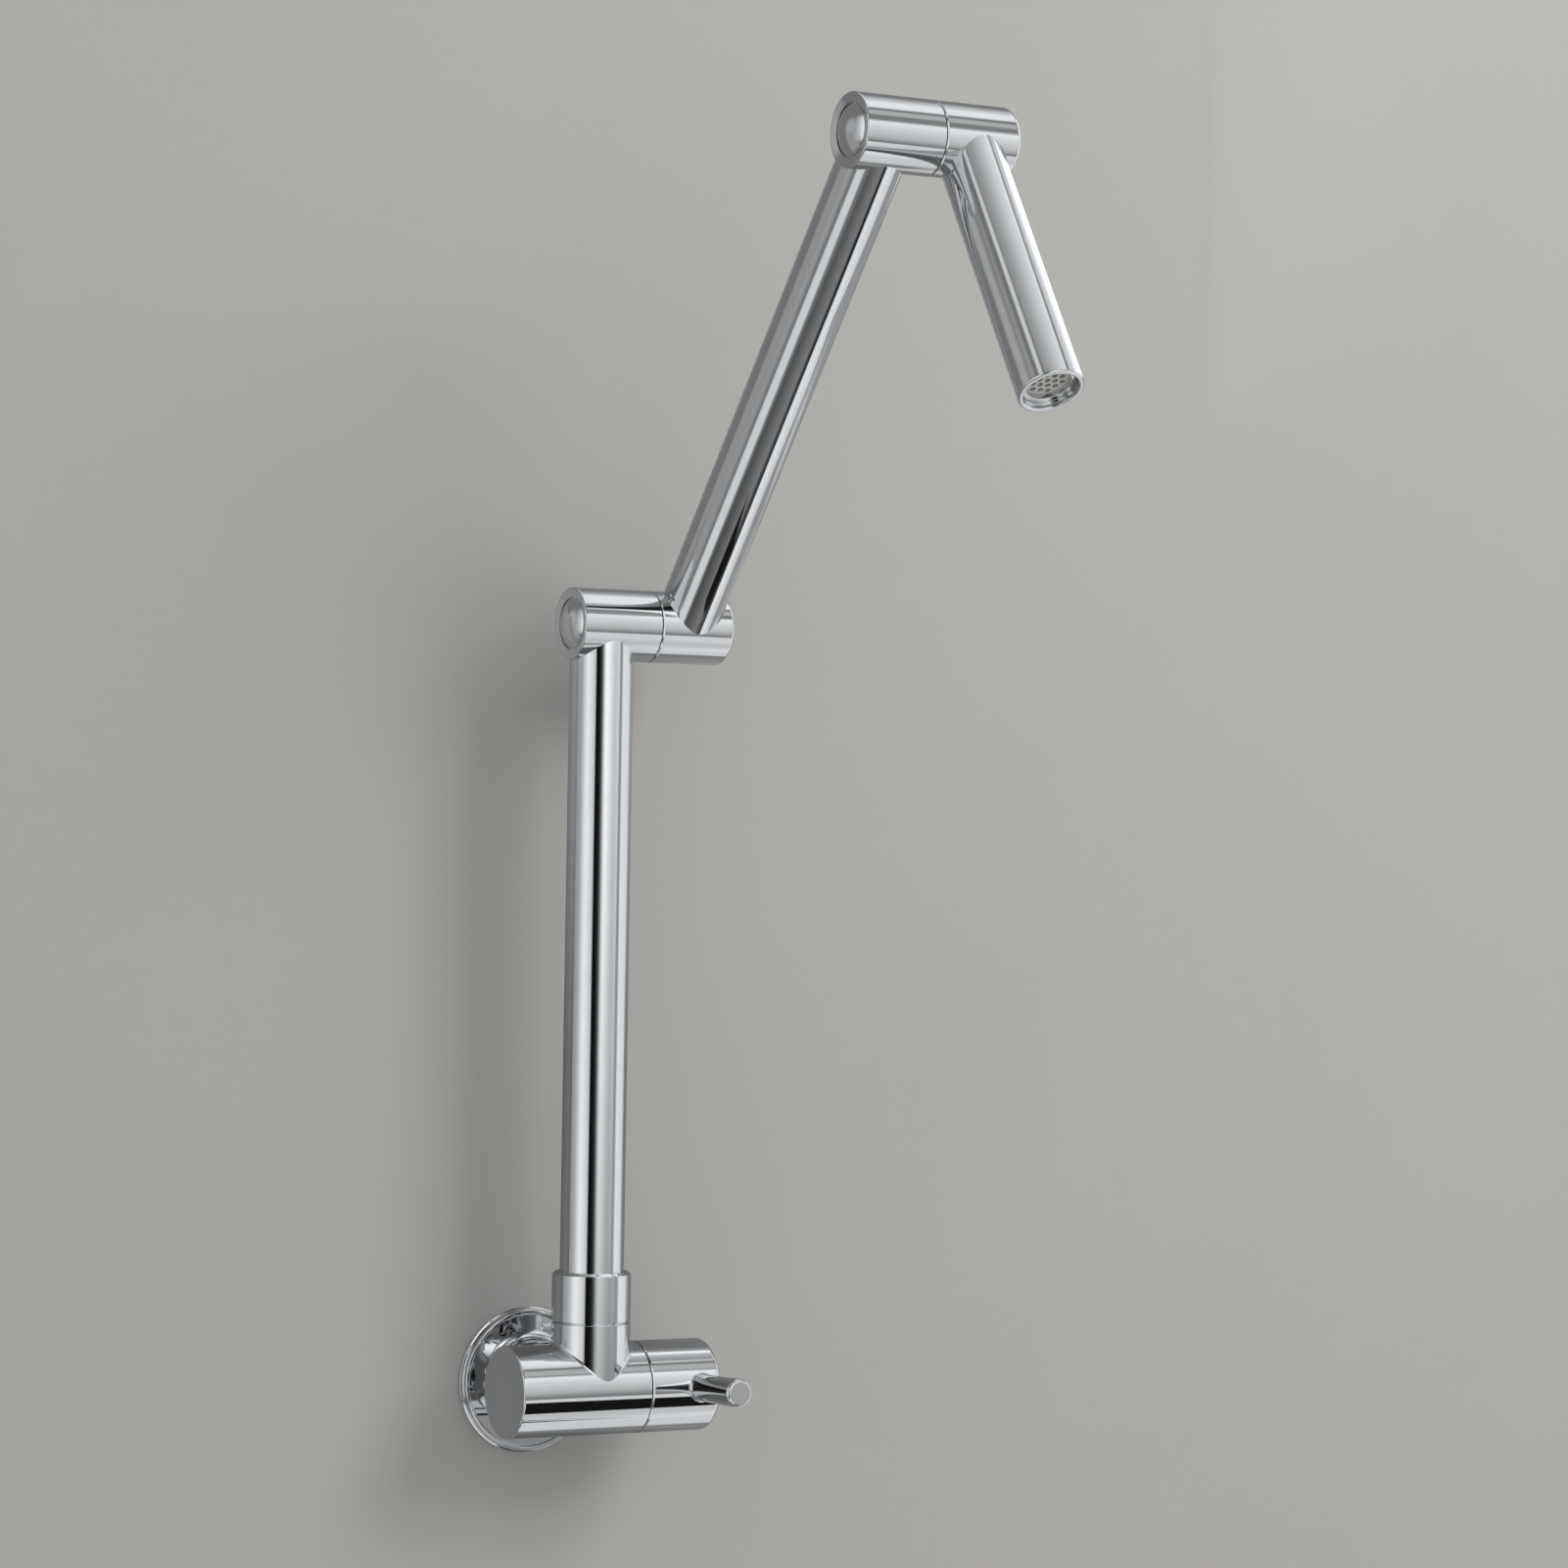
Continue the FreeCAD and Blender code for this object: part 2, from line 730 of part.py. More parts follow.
def saddle_tube(start, rotation, length, trims):
    """Tube from a point along a direction, trimmed by the joints at its ends."""
    tube = ring(tube_r, tube_bore_r, 0, length, placed(start, rotation))
    for centre in trims:
        tube = tube.cut(joint_barrel(centre, joint_r))
    return tube


def lower_tube():
    foot = FreeCAD.Vector(branch_x, branch_y, tube_foot_z)
    return saddle_tube(foot, UPRIGHT, lower_length - tube_foot_z, [elbow_centre])


def upper_tube():
    foot = elbow_centre + arm_step
    return saddle_tube(foot, leaning(upper_lean), upper_length, [foot, wrist_centre])


# Folding joint: both are the same, each drawn along its own axis from the left tube's middle

def joint_axis(centre, angle):
    return placed(centre, leaning(angle)).multiply(placed(ORIGIN, ALONG_X))


def joint_stub(centre, rotation):
    """Short pipe that plugs into the tube, with the tube's way in for the water."""
    place = placed(centre, rotation)
    stub = rod(tube_bore_r - stub_fit, 0, joint_r + stub_length, place)
    way = rod(joint_way_r, 0, joint_r + stub_length + 1, place)
    return stub, way


def left_housing(centre, angle):
    """Half that sits on the tube below it; it holds the spindle, the nut and the button."""
    axis = joint_axis(centre, angle)
    left = -joint_left
    seam = joint_seam - seam_gap / 2
    bore_r = joint_spindle_r + running_fit
    ring_floor = joint_seam + seam_gap / 2 - face_gap - face_ring_length
    dish_r = joint_r - joint_left_round - end_flat
    barrel = turned([
        (0, left),
        (joint_r, left, joint_left_round),
        (joint_r, seam - seam_chamfer),
        (joint_r - seam_chamfer, seam),
        (0, seam),
    ], axis)
    stub, way = joint_stub(centre, leaning(angle + 180))
    housing = barrel.fuse(stub)
    hollow = turned([
        (0, left - 1),
        (dish_r, left - 1),
        (dish_r, left),
        (recess_r, left + end_dish),
        (recess_r, recess_floor),
        (bore_r, recess_floor),
        (bore_r, -joint_chamber_half),
        (joint_chamber_r, -joint_chamber_half),
        (joint_chamber_r, joint_chamber_half),
        (bore_r, joint_chamber_half),
        (bore_r, ring_floor),
        (face_ring_r + thread_fit, ring_floor),
        (face_ring_r + thread_fit, seam + 1),
        (0, seam + 1),
    ], axis)
    return housing.cut(hollow).cut(way)


def right_housing(centre, angle):
    """Half that carries the tube above or the nozzle; the spindle is screwed into it."""
    axis = joint_axis(centre, angle)
    seam = joint_seam + seam_gap / 2
    bore_r = joint_spindle_r + thread_fit
    barrel = turned([
        (0, seam),
        (joint_r - seam_chamfer, seam),
        (joint_r, seam + seam_chamfer),
        (joint_r, joint_right, joint_right_round),
        (0, joint_right),
    ], axis)
    stub, way = joint_stub(centre + arm_step, leaning(angle))
    housing = barrel.fuse(stub)
    hollow = turned([
        (0, seam - 1),
        (bore_r, seam - 1),
        (bore_r, arm_pitch - joint_chamber_half),
        (joint_chamber_r, arm_pitch - joint_chamber_half),
        (joint_chamber_r, arm_pitch + joint_chamber_half),
        (0, arm_pitch + joint_chamber_half),
    ], axis)
    return housing.cut(hollow).cut(way)


def joint_ring_stations():
    return [-joint_chamber_half - joint_ring_offset, joint_chamber_half + joint_ring_offset]


def joint_spindle(centre, angle):
    axis = joint_axis(centre, angle)
    half = o_ring_groove / 2
    groove_r = joint_spindle_r - 2 * o_ring_section_r
    right_end = arm_pitch + joint_chamber_half - face_gap
    profile = [(0, nut_end), (joint_thread_r, nut_end, 0.4), (joint_thread_r, recess_floor + face_gap)]
    profile.append((joint_spindle_r, recess_floor + face_gap))
    for station in joint_ring_stations():
        profile += [
            (joint_spindle_r, station - half),
            (groove_r, station - half),
            (groove_r, station + half),
            (joint_spindle_r, station + half),
        ]
    profile += [(joint_spindle_r, right_end), (0, right_end)]
    spindle = turned(profile, axis)
    spindle = spindle.cut(rod(joint_spindle_bore_r, -joint_port_r - 1, right_end + 1, axis))
    for station in (0, arm_pitch):
        for turn in (0, 90):
            place = axis.multiply(placed(FreeCAD.Vector(0, 0, station),
                                         FreeCAD.Rotation(Z_AXIS, turn).multiply(ALONG_X)))
            spindle = spindle.cut(rod(joint_port_r, -joint_spindle_r - 1, joint_spindle_r + 1, place))
    return spindle


def joint_o_rings(centre, angle):
    axis = joint_axis(centre, angle)
    middle_r = joint_spindle_r + running_fit / 2 - o_ring_section_r
    rings = [o_ring(middle_r, o_ring_section_r, x, axis) for x in joint_ring_stations()]
    return Part.makeCompound(rings)


def joint_thrust_washer(centre, angle):
    return ring(recess_r - washer_margin, joint_spindle_r + running_fit, washer_end, recess_floor,
                joint_axis(centre, angle))


def joint_spring_washer(centre, angle):
    """Disc spring, a shallow cone that keeps the halves pressed together."""
    inner = joint_thread_r + spring_bore_gap
    outer = recess_r - spring_margin
    high = washer_end - face_gap
    return turned([
        (inner, high - spring_washer_cone),
        (outer, high),
        (outer, high - spring_washer_length),
        (inner, high - spring_washer_cone - spring_washer_length + face_gap),
    ], joint_axis(centre, angle))


def joint_nut(centre, angle):
    axis = joint_axis(centre, angle)
    nut = prism(6, nut_flats, nut_end, spring_end, axis)
    return nut.cut(rod(joint_thread_r + thread_fit, nut_end - 1, spring_end + 1, axis))


def joint_face_ring(centre, angle):
    """Slip ring between the halves."""
    high = joint_seam + seam_gap / 2 - face_gap
    return ring(face_ring_r, face_ring_bore_r, high - face_ring_length, high, joint_axis(centre, angle))


def joint_button(centre, angle):
    """Domed cap, pressed into the recess by its skirt."""
    rim = button_sink - joint_left
    crown = -joint_left - button_rise
    dome_r = recess_r - button_gap
    dome_height = rim - crown
    sphere_r = (dome_r ** 2 + dome_height ** 2) / (2 * dome_height)
    sphere = Part.makeSphere(sphere_r, FreeCAD.Vector(0, 0, crown + sphere_r))
    inner = nut_end - button_air
    plug = turned([
        (0, crown - 1),
        (dome_r, crown - 1),
        (dome_r, inner - button_skirt),
        (recess_r - thread_fit, inner - button_skirt),
        (recess_r - thread_fit, inner),
        (0, inner),
    ])
    button = plug.common(sphere.fuse(rod(recess_r, rim, inner)))
    button.Placement = joint_axis(centre, angle)
    return button


# Nozzle: the last tube, with a shoulder inside for the aerator

def nozzle_place():
    return placed(wrist_centre + arm_step, leaning(nozzle_turn))


def aerator_top():
    return nozzle_length - aerator_recess - aerator_length


def nozzle_tube():
    seat_low = aerator_top() - aerator_washer_length - aerator_seat_length
    seat_high = seat_low + aerator_seat_length
    tube = turned([
        (tube_bore_r, 0),
        (tube_r, 0),
        (tube_r, nozzle_length, rim_round),
        (aerator_r, nozzle_length, rim_round),
        (aerator_r, seat_high),
        (tube_r - aerator_seat_wall, seat_high),
        (tube_r - aerator_seat_wall, seat_low),
        (tube_bore_r, seat_low),
    ], nozzle_place())
    return tube.cut(joint_barrel(wrist_centre + arm_step, joint_r))


def aerator_washer():
    high = aerator_top()
    return ring(aerator_r - running_fit, tube_r - aerator_seat_wall, high - aerator_washer_length, high,
                nozzle_place(), 0.3)


def aerator_housing():
    low = aerator_top()
    high = low + aerator_length
    outer = aerator_r - thread_fit
    inner = outer - aerator_housing_wall
    return turned([
        (inner, low + aerator_plate),
        (outer - aerator_skirt, low + aerator_plate),
        (outer - aerator_skirt, low),
        (outer, low),
        (outer, high, 0.4),
        (inner - aerator_lip, high, 0.4),
        (inner - aerator_lip, high - aerator_plate),
        (inner, high - aerator_plate),
    ], nozzle_place())


def aerator_core():
    """Plastic insert: a perforated plate at the mouth, on a plain cup."""
    low = aerator_top() + aerator_plate + face_gap
    high = aerator_top() + aerator_length - aerator_plate - face_gap
    outer = aerator_r - thread_fit - aerator_housing_wall - thread_fit
    core = turned([
        (0, high - aerator_plate),
        (outer - aerator_core_wall, high - aerator_plate),
        (outer - aerator_core_wall, low),
        (outer, low),
        (outer, high),
        (0, high),
    ], nozzle_place())
    holes = []
    for row in range(-2, 3):
        count = 5 - abs(row)
        for column in range(count):
            x = (column - (count - 1) / 2) * aerator_hole_pitch
            y = row * aerator_hole_pitch * math.sin(math.radians(60))
            place = nozzle_place().multiply(placed(FreeCAD.Vector(x, y, 0), UPRIGHT))
            holes.append(rod(aerator_hole_r, high - aerator_plate - 1, high + 1, place))
    return core.cut(Part.makeCompound(holes))


pieces = {
    "wall_flange": wall_flange(),
    "flange_seal": flange_seal(),
    "flange_grip_ring": flange_grip_ring(),
    "inlet_nipple": inlet_nipple(),
    "inlet_strainer": inlet_strainer(),
    "valve_body": valve_body(),
    "seat_seal": seat_seal(),
    "fixed_disc": fixed_disc(),
    "moving_disc": moving_disc(),
    "valve_spindle": valve_spindle(),
    "spindle_o_ring": spindle_o_ring(),
    "spindle_clip": spindle_clip(),
    "cartridge_housing": cartridge_housing(),
    "cartridge_o_ring": cartridge_o_ring(),
    "handle": handle(),
    "handle_grub_screw": handle_grub_screw(),
    "handle_guide_ring": handle_guide_ring(),
    "swivel_nut": swivel_nut(),
    "swivel_thrust_washer": swivel_thrust_washer(),
    "swivel_slip_ring": swivel_slip_ring(),
    "swivel_spigot": swivel_spigot(),
    "swivel_o_rings": swivel_o_rings(),
    "lower_tube": lower_tube(),
    "upper_tube": upper_tube(),
    "nozzle_tube": nozzle_tube(),
    "aerator_washer": aerator_washer(),
    "aerator_housing": aerator_housing(),
    "aerator_core": aerator_core(),
}
joints = {
    "elbow": (elbow_centre, 0, upper_lean),
    "wrist": (wrist_centre, upper_lean, nozzle_turn),
}
for joint, (centre, left_angle, right_angle) in joints.items():
    pieces[joint + "_left_housing"] = left_housing(centre, left_angle)
    pieces[joint + "_right_housing"] = right_housing(centre, right_angle)
    pieces[joint + "_face_ring"] = joint_face_ring(centre, left_angle)
    pieces[joint + "_thrust_washer"] = joint_thrust_washer(centre, left_angle)
    pieces[joint + "_button"] = joint_button(centre, left_angle)
    pieces[joint + "_spindle"] = joint_spindle(centre, right_angle)
    pieces[joint + "_o_rings"] = joint_o_rings(centre, right_angle)
    pieces[joint + "_spring_washer"] = joint_spring_washer(centre, right_angle)
    pieces[joint + "_nut"] = joint_nut(centre, right_angle)

os.makedirs("parts", exist_ok=True)
for name, shape in pieces.items():
    shape.exportStep("parts/" + name + ".step")
    print(name, len(shape.Solids), round(shape.Volume, 1), shape.isValid())
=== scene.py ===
import json
import math

import bpy
from mathutils import Matrix, Vector


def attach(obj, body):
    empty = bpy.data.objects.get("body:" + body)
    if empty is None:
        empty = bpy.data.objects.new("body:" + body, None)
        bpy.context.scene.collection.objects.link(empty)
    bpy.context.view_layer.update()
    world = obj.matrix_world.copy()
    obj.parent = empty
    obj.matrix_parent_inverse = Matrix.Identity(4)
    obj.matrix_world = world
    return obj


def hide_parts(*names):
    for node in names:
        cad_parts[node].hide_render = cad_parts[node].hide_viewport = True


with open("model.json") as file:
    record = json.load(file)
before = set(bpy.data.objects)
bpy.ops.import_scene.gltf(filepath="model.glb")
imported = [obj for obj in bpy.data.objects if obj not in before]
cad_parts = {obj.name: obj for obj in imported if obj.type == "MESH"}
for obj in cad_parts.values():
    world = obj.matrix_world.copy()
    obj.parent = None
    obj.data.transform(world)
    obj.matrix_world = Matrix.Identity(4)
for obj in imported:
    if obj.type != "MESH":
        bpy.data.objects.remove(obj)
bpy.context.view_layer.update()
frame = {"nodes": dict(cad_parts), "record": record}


# Wall flange. A round brass cover, spun and turned, that hides the hole round the pipe fitting.
# It has a bright bead near its rim, a shallow dish and a bell-mouthed collar that grips the valve's
# neck by a rubber ring. Polished and chrome plated.

MM = 0.001
FULL_TURN = 2 * math.pi
SAME_PLACE_DIGITS = 4
SHORTEST_RUN = 1e-5
ARC_STEPS = 8


class Skin:
    """Closed skin of one piece, gathered from grids of points that carry their true normals."""

    def __init__(self):
        self.known = {}
        self.points = []
        self.faces = []
        self.normals = []

    def point(self, place):
        key = tuple(round(c, SAME_PLACE_DIGITS) for c in place)
        if key not in self.known:
            self.known[key] = len(self.points)
            self.points.append(place)
        return self.known[key]

    def face(self, corners):
        """One face from (place, normal) corners, wound so that it looks the way its normals do."""
        kept = []
        for place, normal in corners:
            index = self.point(place)
            if index not in [k for k, n in kept]:
                kept.append((index, normal))
        if len(kept) < 3:
            return
        a, b, c = (Vector(self.points[k]) for k, n in kept[:3])
        facing = (b - a).cross(c - a)
        if len(kept) == 4:
            facing += (c - a).cross(Vector(self.points[kept[3][0]]) - a)
        outward = sum((Vector(n) for k, n in kept), Vector())
        if facing.dot(outward) < 0:
            kept.reverse()
        self.faces.append([k for k, n in kept])
        self.normals += [n for k, n in kept]

    def grid(self, rows):
        """Faces between neighbouring rows; each row is a ring that closes on itself."""
        for row, following in zip(rows, rows[1:]):
            count = len(row)
            for i in range(count):
                j = (i + 1) % count
                self.face([row[i], row[j], following[j], following[i]])

    def piece(self, name, place, material):
        mesh = bpy.data.meshes.new(name)
        mesh.from_pydata([[c * MM for c in p] for p in self.points], [], self.faces)
        mesh.polygons.foreach_set("use_smooth", [True] * len(self.faces))
        mesh.update()
        mesh.normals_split_custom_set(self.normals)
        mesh.materials.append(material)
        made = bpy.data.objects.new(name, mesh)
        bpy.context.scene.collection.objects.link(made)
        made.matrix_world = place
        return made


def corner_arc(corner, rounding, before, after):
    """Points of the arc that rounds a corner, between the directions to its two neighbours."""
    half = before.angle(after) / 2
    trim = rounding / math.tan(half)
    start, end = corner + before * trim, corner + after * trim
    centre = corner + (before + after).normalized() * rounding / math.sin(half)
    swing = (start - centre).angle_signed(end - centre)
    arc = []
    for k in range(ARC_STEPS + 1):
        spoke = (start - centre).copy()
        spoke.rotate(Matrix.Rotation(-swing * k / ARC_STEPS, 2))
        arc.append(centre + spoke)
    return arc


def rounded(corners):
    """Closed outline of (radius, height, rounding) corners as straight and curved runs.

    Each run is a list of (radius, height, normal) stations, with the normal out of the metal.
    """
    flat = [Vector(corner[:2]) for corner in corners]
    area = sum(flat[i - 1].cross(flat[i]) for i in range(len(flat)))
    side = 1 if area > 0 else -1
    before = [(flat[i - 1] - flat[i]).normalized() for i in range(len(flat))]
    after = [(flat[(i + 1) % len(flat)] - flat[i]).normalized() for i in range(len(flat))]
    joins = []
    for i, corner in enumerate(flat):
        if len(corners[i]) > 2:
            joins.append(corner_arc(corner, corners[i][2], before[i], after[i]))
        else:
            joins.append([corner])
    runs = []
    for i, arc in enumerate(joins):
        if len(arc) > 1:
            middle = [(late - early).normalized() for early, late in zip(arc, arc[2:])]
            run = []
            for spot, tangent in zip(arc, [-before[i]] + middle + [after[i]]):
                run.append((spot.x, spot.y, (tangent.y * side, -tangent.x * side)))
            runs.append(run)
        start, end = arc[-1], joins[(i + 1) % len(joins)][0]
        if (end - start).length > SHORTEST_RUN:
            tangent = (end - start).normalized()
            normal = (tangent.y * side, -tangent.x * side)
            runs.append([(start.x, start.y, normal), (end.x, end.y, normal)])
    return runs


def ring(radius, height, normal, around):
    """Ring of points about Z with their normals, at one height or at one for each point."""
    heights = height if isinstance(height, list) else [height] * around
    out, up = normal
    row = []
    for k, level in enumerate(heights):
        c, s = math.cos(FULL_TURN * k / around), math.sin(FULL_TURN * k / around)
        row.append(((radius * c, radius * s, level), (out * c, out * s, up)))
    return row


def rings(run, around):
    """The rings of one run of an outline."""
    return [ring(radius, height, normal, around) for radius, height, normal in run]


def turned(corners, around=144):
    """Skin of a shape that is turned about Z, from the corners of its outline."""
    skin = Skin()
    for run in rounded(corners):
        skin.grid(rings(run, around))
    return skin


def lying(x, y, z, *turns):
    """Place of a piece: a point in millimetres, then turns in degrees about an axis, outermost first."""
    place = Matrix.Translation(Vector((x, y, z)) * MM)
    for axis, angle in turns:
        place = place @ Matrix.Rotation(math.radians(angle), 4, axis)
    return place


class Wire:
    """A shader socket that can be used in sums like a number."""

    def __init__(self, tree, socket):
        self.tree = tree
        self.socket = socket

    def work(self, operation, *others):
        """This value and others, put through one Math node."""
        return self.tree.add("ShaderNodeMath", {"operation": operation}, self, *others).out()

    def __add__(self, other):
        return self.work("ADD", other)

    __radd__ = __add__

    def __mul__(self, other):
        return self.work("MULTIPLY", other)

    __rmul__ = __mul__

    def __sub__(self, other):
        return self.work("SUBTRACT", other)

    def __rsub__(self, other):
        return self.tree.add("ShaderNodeMath", {"operation": "SUBTRACT"}, other, self).out()

    def __truediv__(self, other):
        return self.work("DIVIDE", other)

    def __pow__(self, other):
        return self.work("POWER", other)

    def clamped(self):
        return self.work("MAXIMUM", 0.0).work("MINIMUM", 1.0)


class Tree:
    """The node tree of one material or of the world."""

    def __init__(self, owner):
        owner.use_nodes = True
        self.nodes = owner.node_tree.nodes
        self.links = owner.node_tree.links
        self.nodes.clear()

    def add(self, kind, settings=None, *inputs, **named):
        node = self.nodes.new(kind)
        for key, value in (settings or {}).items():
            if key == "stops":
                ramp = node.color_ramp.elements
                while len(ramp) < len(value):
                    ramp.new(0.5)
                for stop, (position, level) in zip(ramp, value):
                    stop.position = position
                    stop.color = (level, level, level, 1) if isinstance(level, float) else (*level, 1)
            else:
                setattr(node, key, value)
        made = Made(self, node)
        for place, value in list(enumerate(inputs)) + list(named.items()):
            made.feed(place, value)
        return made


class Made:
    """A node that was added, with its sockets by number or by name."""

    def __init__(self, tree, node):
        self.tree = tree
        self.node = node

    def feed(self, place, value):
        if isinstance(place, str):
            socket = self.node.inputs[place.replace("_", " ")]
        else:
            socket = [s for s in self.node.inputs if s.enabled][place]
        if isinstance(value, Wire):
            self.tree.links.new(value.socket, socket)
        else:
            socket.default_value = value

    def out(self, name=0):
        sockets = self.node.outputs
        if isinstance(name, int):
            return Wire(self.tree, [s for s in sockets if s.enabled][name])
        return Wire(self.tree, sockets[name])


MARKS_PER_METRE = 9000.0
CLEAN_TINT = (0.66, 0.668, 0.675, 1)
HAZED_TINT = (0.60, 0.61, 0.62, 1)
CLEAN_ROUGHNESS = 0.035
HAZE_ROUGHNESS = 0.05


def chrome(name, waviness, lathe_marks):
    """Bright chrome plate. Polishing leaves the metal a little wavy and handling leaves a faint haze.

    The depths of the waves and of the lathe's marks are in metres.
    """
    material = bpy.data.materials.new(name)
    tree = Tree(material)
    place = tree.add("ShaderNodeTexCoord").out("Object")
    waves = tree.add("ShaderNodeTexNoise", {}, Vector=place, Scale=45.0, Detail=1.0, Roughness=0.4)
    haze = tree.add("ShaderNodeTexNoise", {}, Vector=place, Scale=160.0, Detail=6.0, Roughness=0.7)
    patches = tree.add("ShaderNodeTexNoise", {}, Vector=place, Scale=30.0, Detail=3.0, Roughness=0.6)
    smears = ((haze.out("Fac") * patches.out("Fac")) * 4.0 - 0.85).clamped()
    parts = tree.add("ShaderNodeSeparateXYZ", {}, place)
    radius = (parts.out("X") ** 2.0 + parts.out("Y") ** 2.0) ** 0.5
    lathe = tree.add("ShaderNodeTexNoise", {"noise_dimensions": "1D"},
                     W=radius * MARKS_PER_METRE + parts.out("Z") * MARKS_PER_METRE, Scale=1.0, Detail=2.0)
    height = waves.out("Fac") * waviness + lathe.out("Fac") * lathe_marks
    bump = tree.add("ShaderNodeBump", {}, Strength=1.0, Distance=1.0, Height=height)
    tone = tree.add("ShaderNodeMix", {"data_type": "RGBA"}, smears * 0.5, A=CLEAN_TINT, B=HAZED_TINT)
    shader = tree.add("ShaderNodeBsdfPrincipled", {}, Base_Color=tone.out("Result"), Metallic=1.0,
                      Roughness=smears * HAZE_ROUGHNESS + CLEAN_ROUGHNESS, Normal=bump.out("Normal"))
    tree.add("ShaderNodeOutputMaterial", {}, shader.out())
    return material


SPUN_CHROME = chrome("spun_chrome", waviness=0.35e-6, lathe_marks=0.0)
RUNNING_FIT = 0.08
NECK_R = 15.3
FLANGE_R = 29.0
FLANGE_EDGE = 1.5
FLANGE_SHELL = 1.5
LIP_RISE = 0.2
BEAD_R = 27.9
BEAD_HEIGHT = 4.8
BEAD_WIDTH = 1.6
BEAD_SLOPE = 0.1
DISH_R = 25.9
DISH_HEIGHT = 3.0
BELL_ROUND = 3.7
COLLAR_BORE_R = NECK_R + RUNNING_FIT
COLLAR_R = COLLAR_BORE_R + 1.0
COLLAR_END = 18.0
SEAL_HEIGHT = 1.8
wall_axis = lying(0, 0, 0, ("X", 90))

cover = turned([
    (FLANGE_R - FLANGE_SHELL, 0),
    (FLANGE_R, 0),
    (FLANGE_R, FLANGE_EDGE, 0.4),
    (BEAD_R + BEAD_SLOPE, FLANGE_EDGE + LIP_RISE, 0.3),
    (BEAD_R, BEAD_HEIGHT, 0.7),
    (BEAD_R - BEAD_WIDTH, BEAD_HEIGHT, 0.7),
    (DISH_R, DISH_HEIGHT, 0.4),
    (COLLAR_R, DISH_HEIGHT, BELL_ROUND),
    (COLLAR_R, COLLAR_END, 0.35),
    (COLLAR_BORE_R, COLLAR_END),
    (COLLAR_BORE_R, SEAL_HEIGHT),
    (FLANGE_R - FLANGE_SHELL, SEAL_HEIGHT),
], around=192)
flange = cover.piece("flange_skin", wall_axis, SPUN_CHROME)
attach(flange, "wall_group")
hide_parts("wall_flange")


# Valve body. One brass casting, bored from the right for the cartridge: a plain cylinder along the
# wall, a neck at the back that takes the inlet nipple, and a branch on top that the swivel sits on.
# The branch grows out of the cylinder with a small hollow round. Polished and chrome plated.

CAST_CHROME = chrome("cast_chrome", waviness=2.2e-6, lathe_marks=1.5e-9)
VALVE_OUT = 39.4
VALVE_R = 18.0
VALVE_LEFT = 28.1
VALVE_RIGHT = 27.7
PLAIN_END_ROUND = 0.7
SEAM_CHAMFER = 0.45
CARTRIDGE_BORE_R = 13.45
SEAT_X = 1.6
NECK_BORE_R = 10.25
NECK_START = 4.0
NECK_END = VALVE_OUT - 8.0
BRANCH_X = 8.0
BRANCH_FORWARD = 2.0
BRANCH_R = 15.41
BRANCH_TOP = 26.4
BRANCH_BLEND = 1.5
BRANCH_Y = -VALVE_OUT - BRANCH_FORWARD
NIPPLE_R = 13.76
NIPPLE_TOP = 36.2
SPIGOT_BORE_R = 9.68
SPIGOT_FLOOR = 17.5
HIDDEN_FOOT = 1.2


def rooted_post(post_r, host_r, host_y, blend, upper, around=144, blend_steps=10):
    """Round post that grows out of a cylinder lying along X, with a hollow round at its foot.

    The post stands along Z and the cylinder's axis passes at y = host_y. A ball rolled along both
    gives the round. upper is the rest of the post's outline, from its side to its axis.
    """
    skin = Skin()
    foot, contact, side = [], [], []
    arcs = [[] for k in range(blend_steps + 1)]
    for k in range(around):
        c, s = math.cos(FULL_TURN * k / around), math.sin(FULL_TURN * k / around)
        ball = Vector(((post_r + blend) * c, (post_r + blend) * s, 0))
        ball.z = math.sqrt((host_r + blend) ** 2 - (ball.y - host_y) ** 2)
        out_of_host = Vector((0, ball.y - host_y, ball.z)).normalized()
        start, end = -out_of_host, Vector((-c, -s, 0))
        for step, row in enumerate(arcs):
            spoke = start.slerp(end, step / blend_steps)
            row.append((tuple(ball + spoke * blend), tuple(-spoke)))
        low = ball + start * blend
        foot.append((tuple(low - out_of_host * HIDDEN_FOOT), tuple(out_of_host)))
        contact.append((tuple(low), tuple(out_of_host)))
        side.append(((post_r * c, post_r * s, ball.z), (c, s, 0)))
    skin.grid([foot, contact])
    skin.grid(arcs)
    middle = (0, 0, min(place[2] for place, normal in foot))
    skin.grid([[(place, (0, 0, -1)) for place, normal in foot], [(middle, (0, 0, -1))] * around])
    for run in upper:
        rows = rings(run, around)
        if run is upper[0]:
            rows[0] = side
        skin.grid(rows)
    return skin


barrel = turned([
    (0, -VALVE_LEFT),
    (VALVE_R, -VALVE_LEFT, PLAIN_END_ROUND),
    (VALVE_R, VALVE_RIGHT - SEAM_CHAMFER),
    (VALVE_R - SEAM_CHAMFER, VALVE_RIGHT),
    (CARTRIDGE_BORE_R, VALVE_RIGHT),
    (CARTRIDGE_BORE_R, SEAT_X),
    (0, SEAT_X),
])
valve_axis = lying(0, -VALVE_OUT, 0, ("Y", 90))
valve = barrel.piece("valve_barrel_skin", valve_axis, CAST_CHROME)
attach(valve, "wall_group")
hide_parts("valve_body")

neck = turned([
    (NECK_BORE_R, NECK_START),
    (NECK_R, NECK_START),
    (NECK_R, NECK_END),
    (NECK_BORE_R, NECK_END),
])
neck_piece = neck.piece("valve_neck_skin", wall_axis, CAST_CHROME)
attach(neck_piece, "wall_group")

